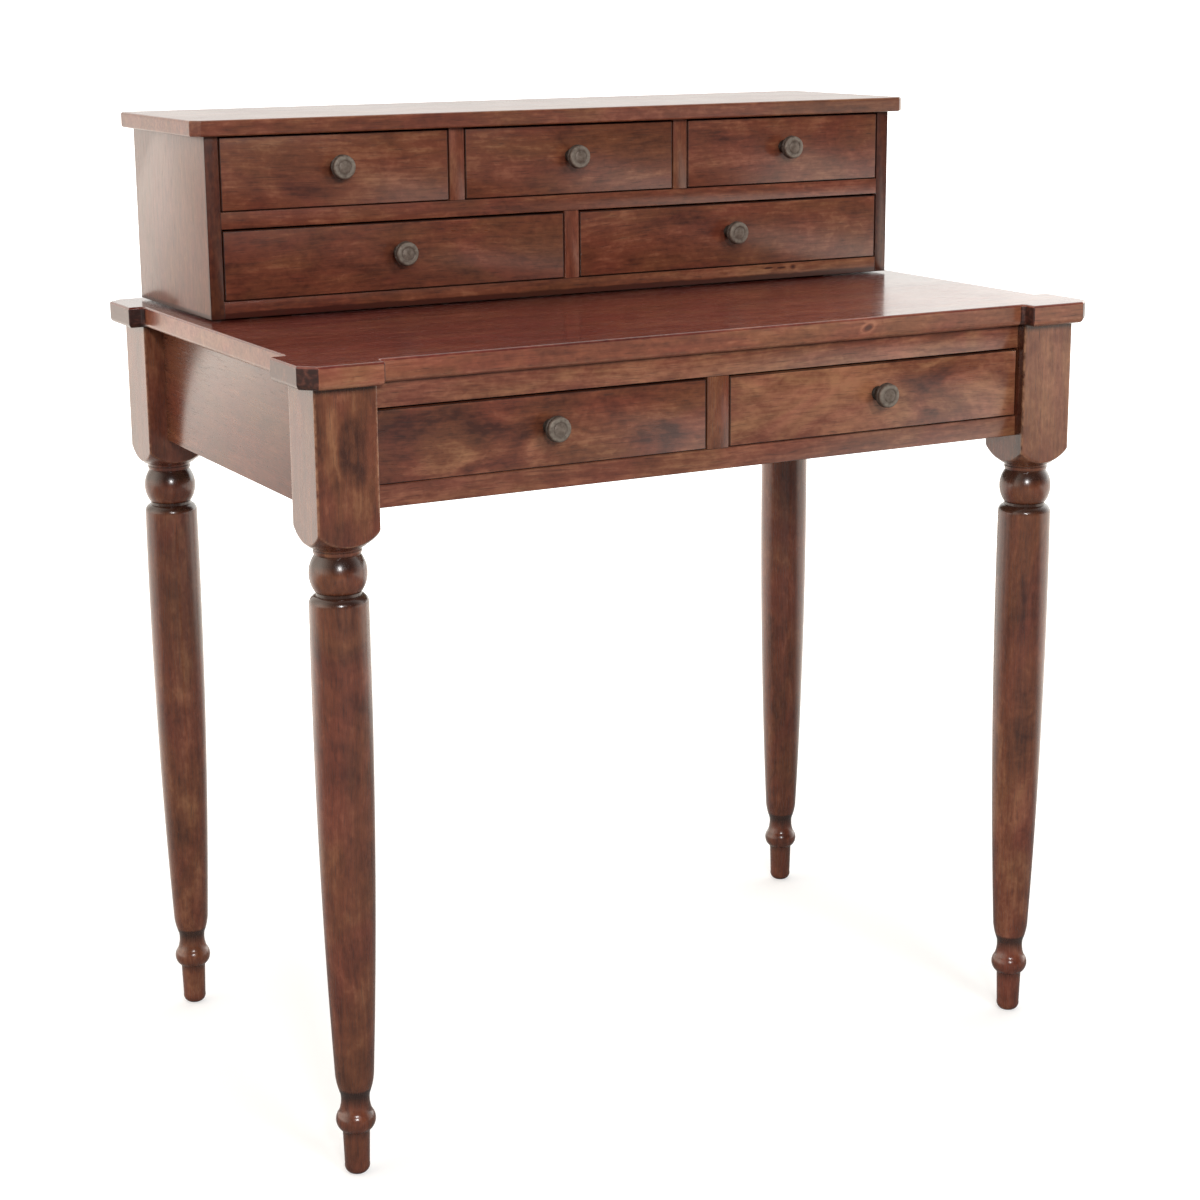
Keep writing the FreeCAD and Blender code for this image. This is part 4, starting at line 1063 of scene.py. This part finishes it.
screws = [make_heads(f"{node}_screw", node, knob_spot(node), SCREW_HEAD, PEWTER)
          for node in solids if node.endswith("_knob")]
spots = pin_spots("case_back")
make_heads("case_back_pins", "case_back", spots, PIN_HEAD, PEWTER)
print("screws:", len(screws), "pins:", len(spots))

# %% [markdown]
# ## Studio
# A polished desk mirrors what stands round it. Behind the desk and to its right the
# floor and the air glow, and in front of it the room is dim, so the sides and tops
# carry a pale sheen and the fronts keep their deep colour. A plain white room would
# wash every face out alike.

# %% Floor
BACKWARD = (0.0, 0.96, -0.28)
RIGHTWARD = (0.9, 0.44, 0.0)
BACK_GLOW = 1.4
FLOOR_REACH = 40.0
SEEN_PAINT, LIT_PAINT = (0.62, 0.62, 0.62, 1), (0.22, 0.22, 0.22, 1)
WHITE, WARM_WHITE = (1, 1, 1, 1), (1, 0.93, 0.84, 1)


def floor_paint():
    """Pale paint that the camera sees melt into white at 0.4 to 2.2 metres from the desk,
    and that everything else sees glow behind the desk and at its right."""
    paint, tree, shader, spot = new_finish("Floor paint")
    shader.inputs["Roughness"].default_value = 0.9
    seen = add(tree, "ShaderNodeLightPath").outputs["Is Camera Ray"]
    reach, behind, beside = (
        vectors(tree, "LENGTH", {0: spot}, "Value"),
        vectors(tree, "DOT_PRODUCT", {0: spot, 1: BACKWARD}, "Value"),
        vectors(tree, "DOT_PRODUCT", {0: spot, 1: RIGHTWARD}, "Value"))
    melt = maths(tree, "ADD", window(tree, reach, 0.4, 2.2), 0.38)
    bright = maths(tree, "MAXIMUM", window(tree, behind, 0.2, 1.2), window(tree, beside, 0.72, 1.3))
    lit = maths(tree, "MULTIPLY", bright, BACK_GLOW)
    glow = add(tree, "ShaderNodeMix", {0: seen, 2: lit, 3: melt}).outputs[0]
    join(tree, {"Base Color": blend(tree, seen, LIT_PAINT, SEEN_PAINT), "Emission Strength": glow,
                "Emission Color": blend(tree, seen, WARM_WHITE, WHITE)}, shader.inputs)
    return paint


def make_floor(half):
    """Square floor at height 0, reaching so far each way."""
    mesh = bpy.data.meshes.new("Studio floor")
    corners = [(-half, -half, 0), (half, -half, 0), (half, half, 0), (-half, half, 0)]
    mesh.from_pydata(corners, [], [(0, 1, 2, 3)])
    mesh.materials.append(floor_paint())
    floor = placed("Studio floor", mesh)
    return floor


print("floor:", list(make_floor(FLOOR_REACH).dimensions))

# %% [markdown]
# ## Lights
# A small bright lamp over the camera gives the turnings their highlights. A broad
# screen in front fills the shadows, and a dim one lifts the left side. The screens
# could be mirrored too, but they would show as grey patches in the polish.

# %% Lights
def add_light(name, place, aim, size, glow, mirrored=True):
    """Soft rectangle of light, its power set by glow, the brightness of its face."""
    lamp = bpy.data.lights.new(name, "AREA")
    lamp.shape = "RECTANGLE"
    lamp.size, lamp.size_y = size
    lamp.energy = glow * math.pi * size[0] * size[1]
    light = placed(name, lamp)
    facing = (Vector(place) - Vector(aim)).to_track_quat("Z", "Y")
    light.matrix_world = Matrix.Translation(place) @ facing.to_matrix().to_4x4()
    light.visible_camera = False
    light.visible_glossy = mirrored


DESK_MIDDLE = (0, 0, 0.6)
add_light("Lamp over the camera", (-1.1, -3.0, 1.75), DESK_MIDDLE, (0.4, 0.4), 80)
add_light("Screen in front", (0.2, -3.0, 2.1), DESK_MIDDLE, (1.0, 0.9), 18.0, mirrored=False)
add_light("Screen to the left", (-3.2, -0.4, 1.0), DESK_MIDDLE, (1.6, 1.6), 1.5, mirrored=False)
print("lights:", [item.name for item in bpy.data.lights])

# %% [markdown]
# ## Air
# An evenly lit sky would flatten the turnings. This one brightens from the front of
# the room to the back, more so at both flanks, and warms towards the left. The camera
# itself sees plain white.

# %% Air
DIM_AIR = 0.06
FLANK_GLOW = 0.8
LEFT_TINT, RIGHT_TINT = (1, 0.90, 0.79, 1), (1, 0.99, 0.95, 1)

world = bpy.data.worlds.new("Studio air")
world.use_nodes = True
air = world.node_tree
way = add(air, "ShaderNodeTexCoord").outputs["Generated"]
seen = add(air, "ShaderNodeLightPath").outputs["Is Camera Ray"]
sideways = add(air, "ShaderNodeSeparateXYZ", {0: way}).outputs["X"]
behind = vectors(air, "DOT_PRODUCT", {0: way, 1: BACKWARD}, "Value")
around = window(air, behind, -0.75, 0.15, DIM_AIR, BACK_GLOW)
flank = maths(air, "MULTIPLY", window(air, maths(air, "ABSOLUTE", sideways), 0.55, 0.9), FLANK_GLOW)
around = maths(air, "MULTIPLY", around, maths(air, "ADD", flank, 1.0))
tint = blend(air, window(air, sideways, -0.5, 0.3), LEFT_TINT, RIGHT_TINT)
join(air, {"Strength": maths(air, "MAXIMUM", around, seen), "Color": blend(air, seen, tint, WHITE)},
     air.nodes["Background"].inputs)
bpy.context.scene.world = world
bpy.context.scene.view_settings.view_transform = "Standard"
print("air:", len(air.nodes), "nodes")

# %% [markdown]
# ## Camera
# The desk is seen from the left of its front, a little above the case, through a long
# lens that keeps its uprights nearly straight. A camera can be aimed by a constraint,
# but three turns in degrees also give it the slight roll that it needs.

# %% Camera
def look(place, yaw, pitch, roll):
    """Matrix of a camera that looks along +Y before it is turned, in metres and degrees.

    A camera without turns looks straight down, so it is tipped up by 90 degrees plus
    the pitch. From the left the product reads: place, yaw, tip, roll.
    """
    matrix = Matrix.Translation(place)
    for degrees, axis in ((yaw, "Z"), (90 + pitch, "X"), (roll, "Z")):
        matrix = matrix @ Matrix.Rotation(math.radians(degrees), 4, axis)
    return matrix


camera = placed("Camera", bpy.data.cameras.new("Camera"))
camera.matrix_world = look((-1.1900, -2.2016, 1.0940), yaw=-28.333, pitch=-13.222, roll=-0.464)
camera.data.sensor_width = 36.0
camera.data.lens = 72.78
camera.data.shift_x = 0.0063
camera.data.shift_y = -0.0347
bpy.context.scene.camera = camera
print("camera:", list(camera.location), "lens", camera.data.lens)
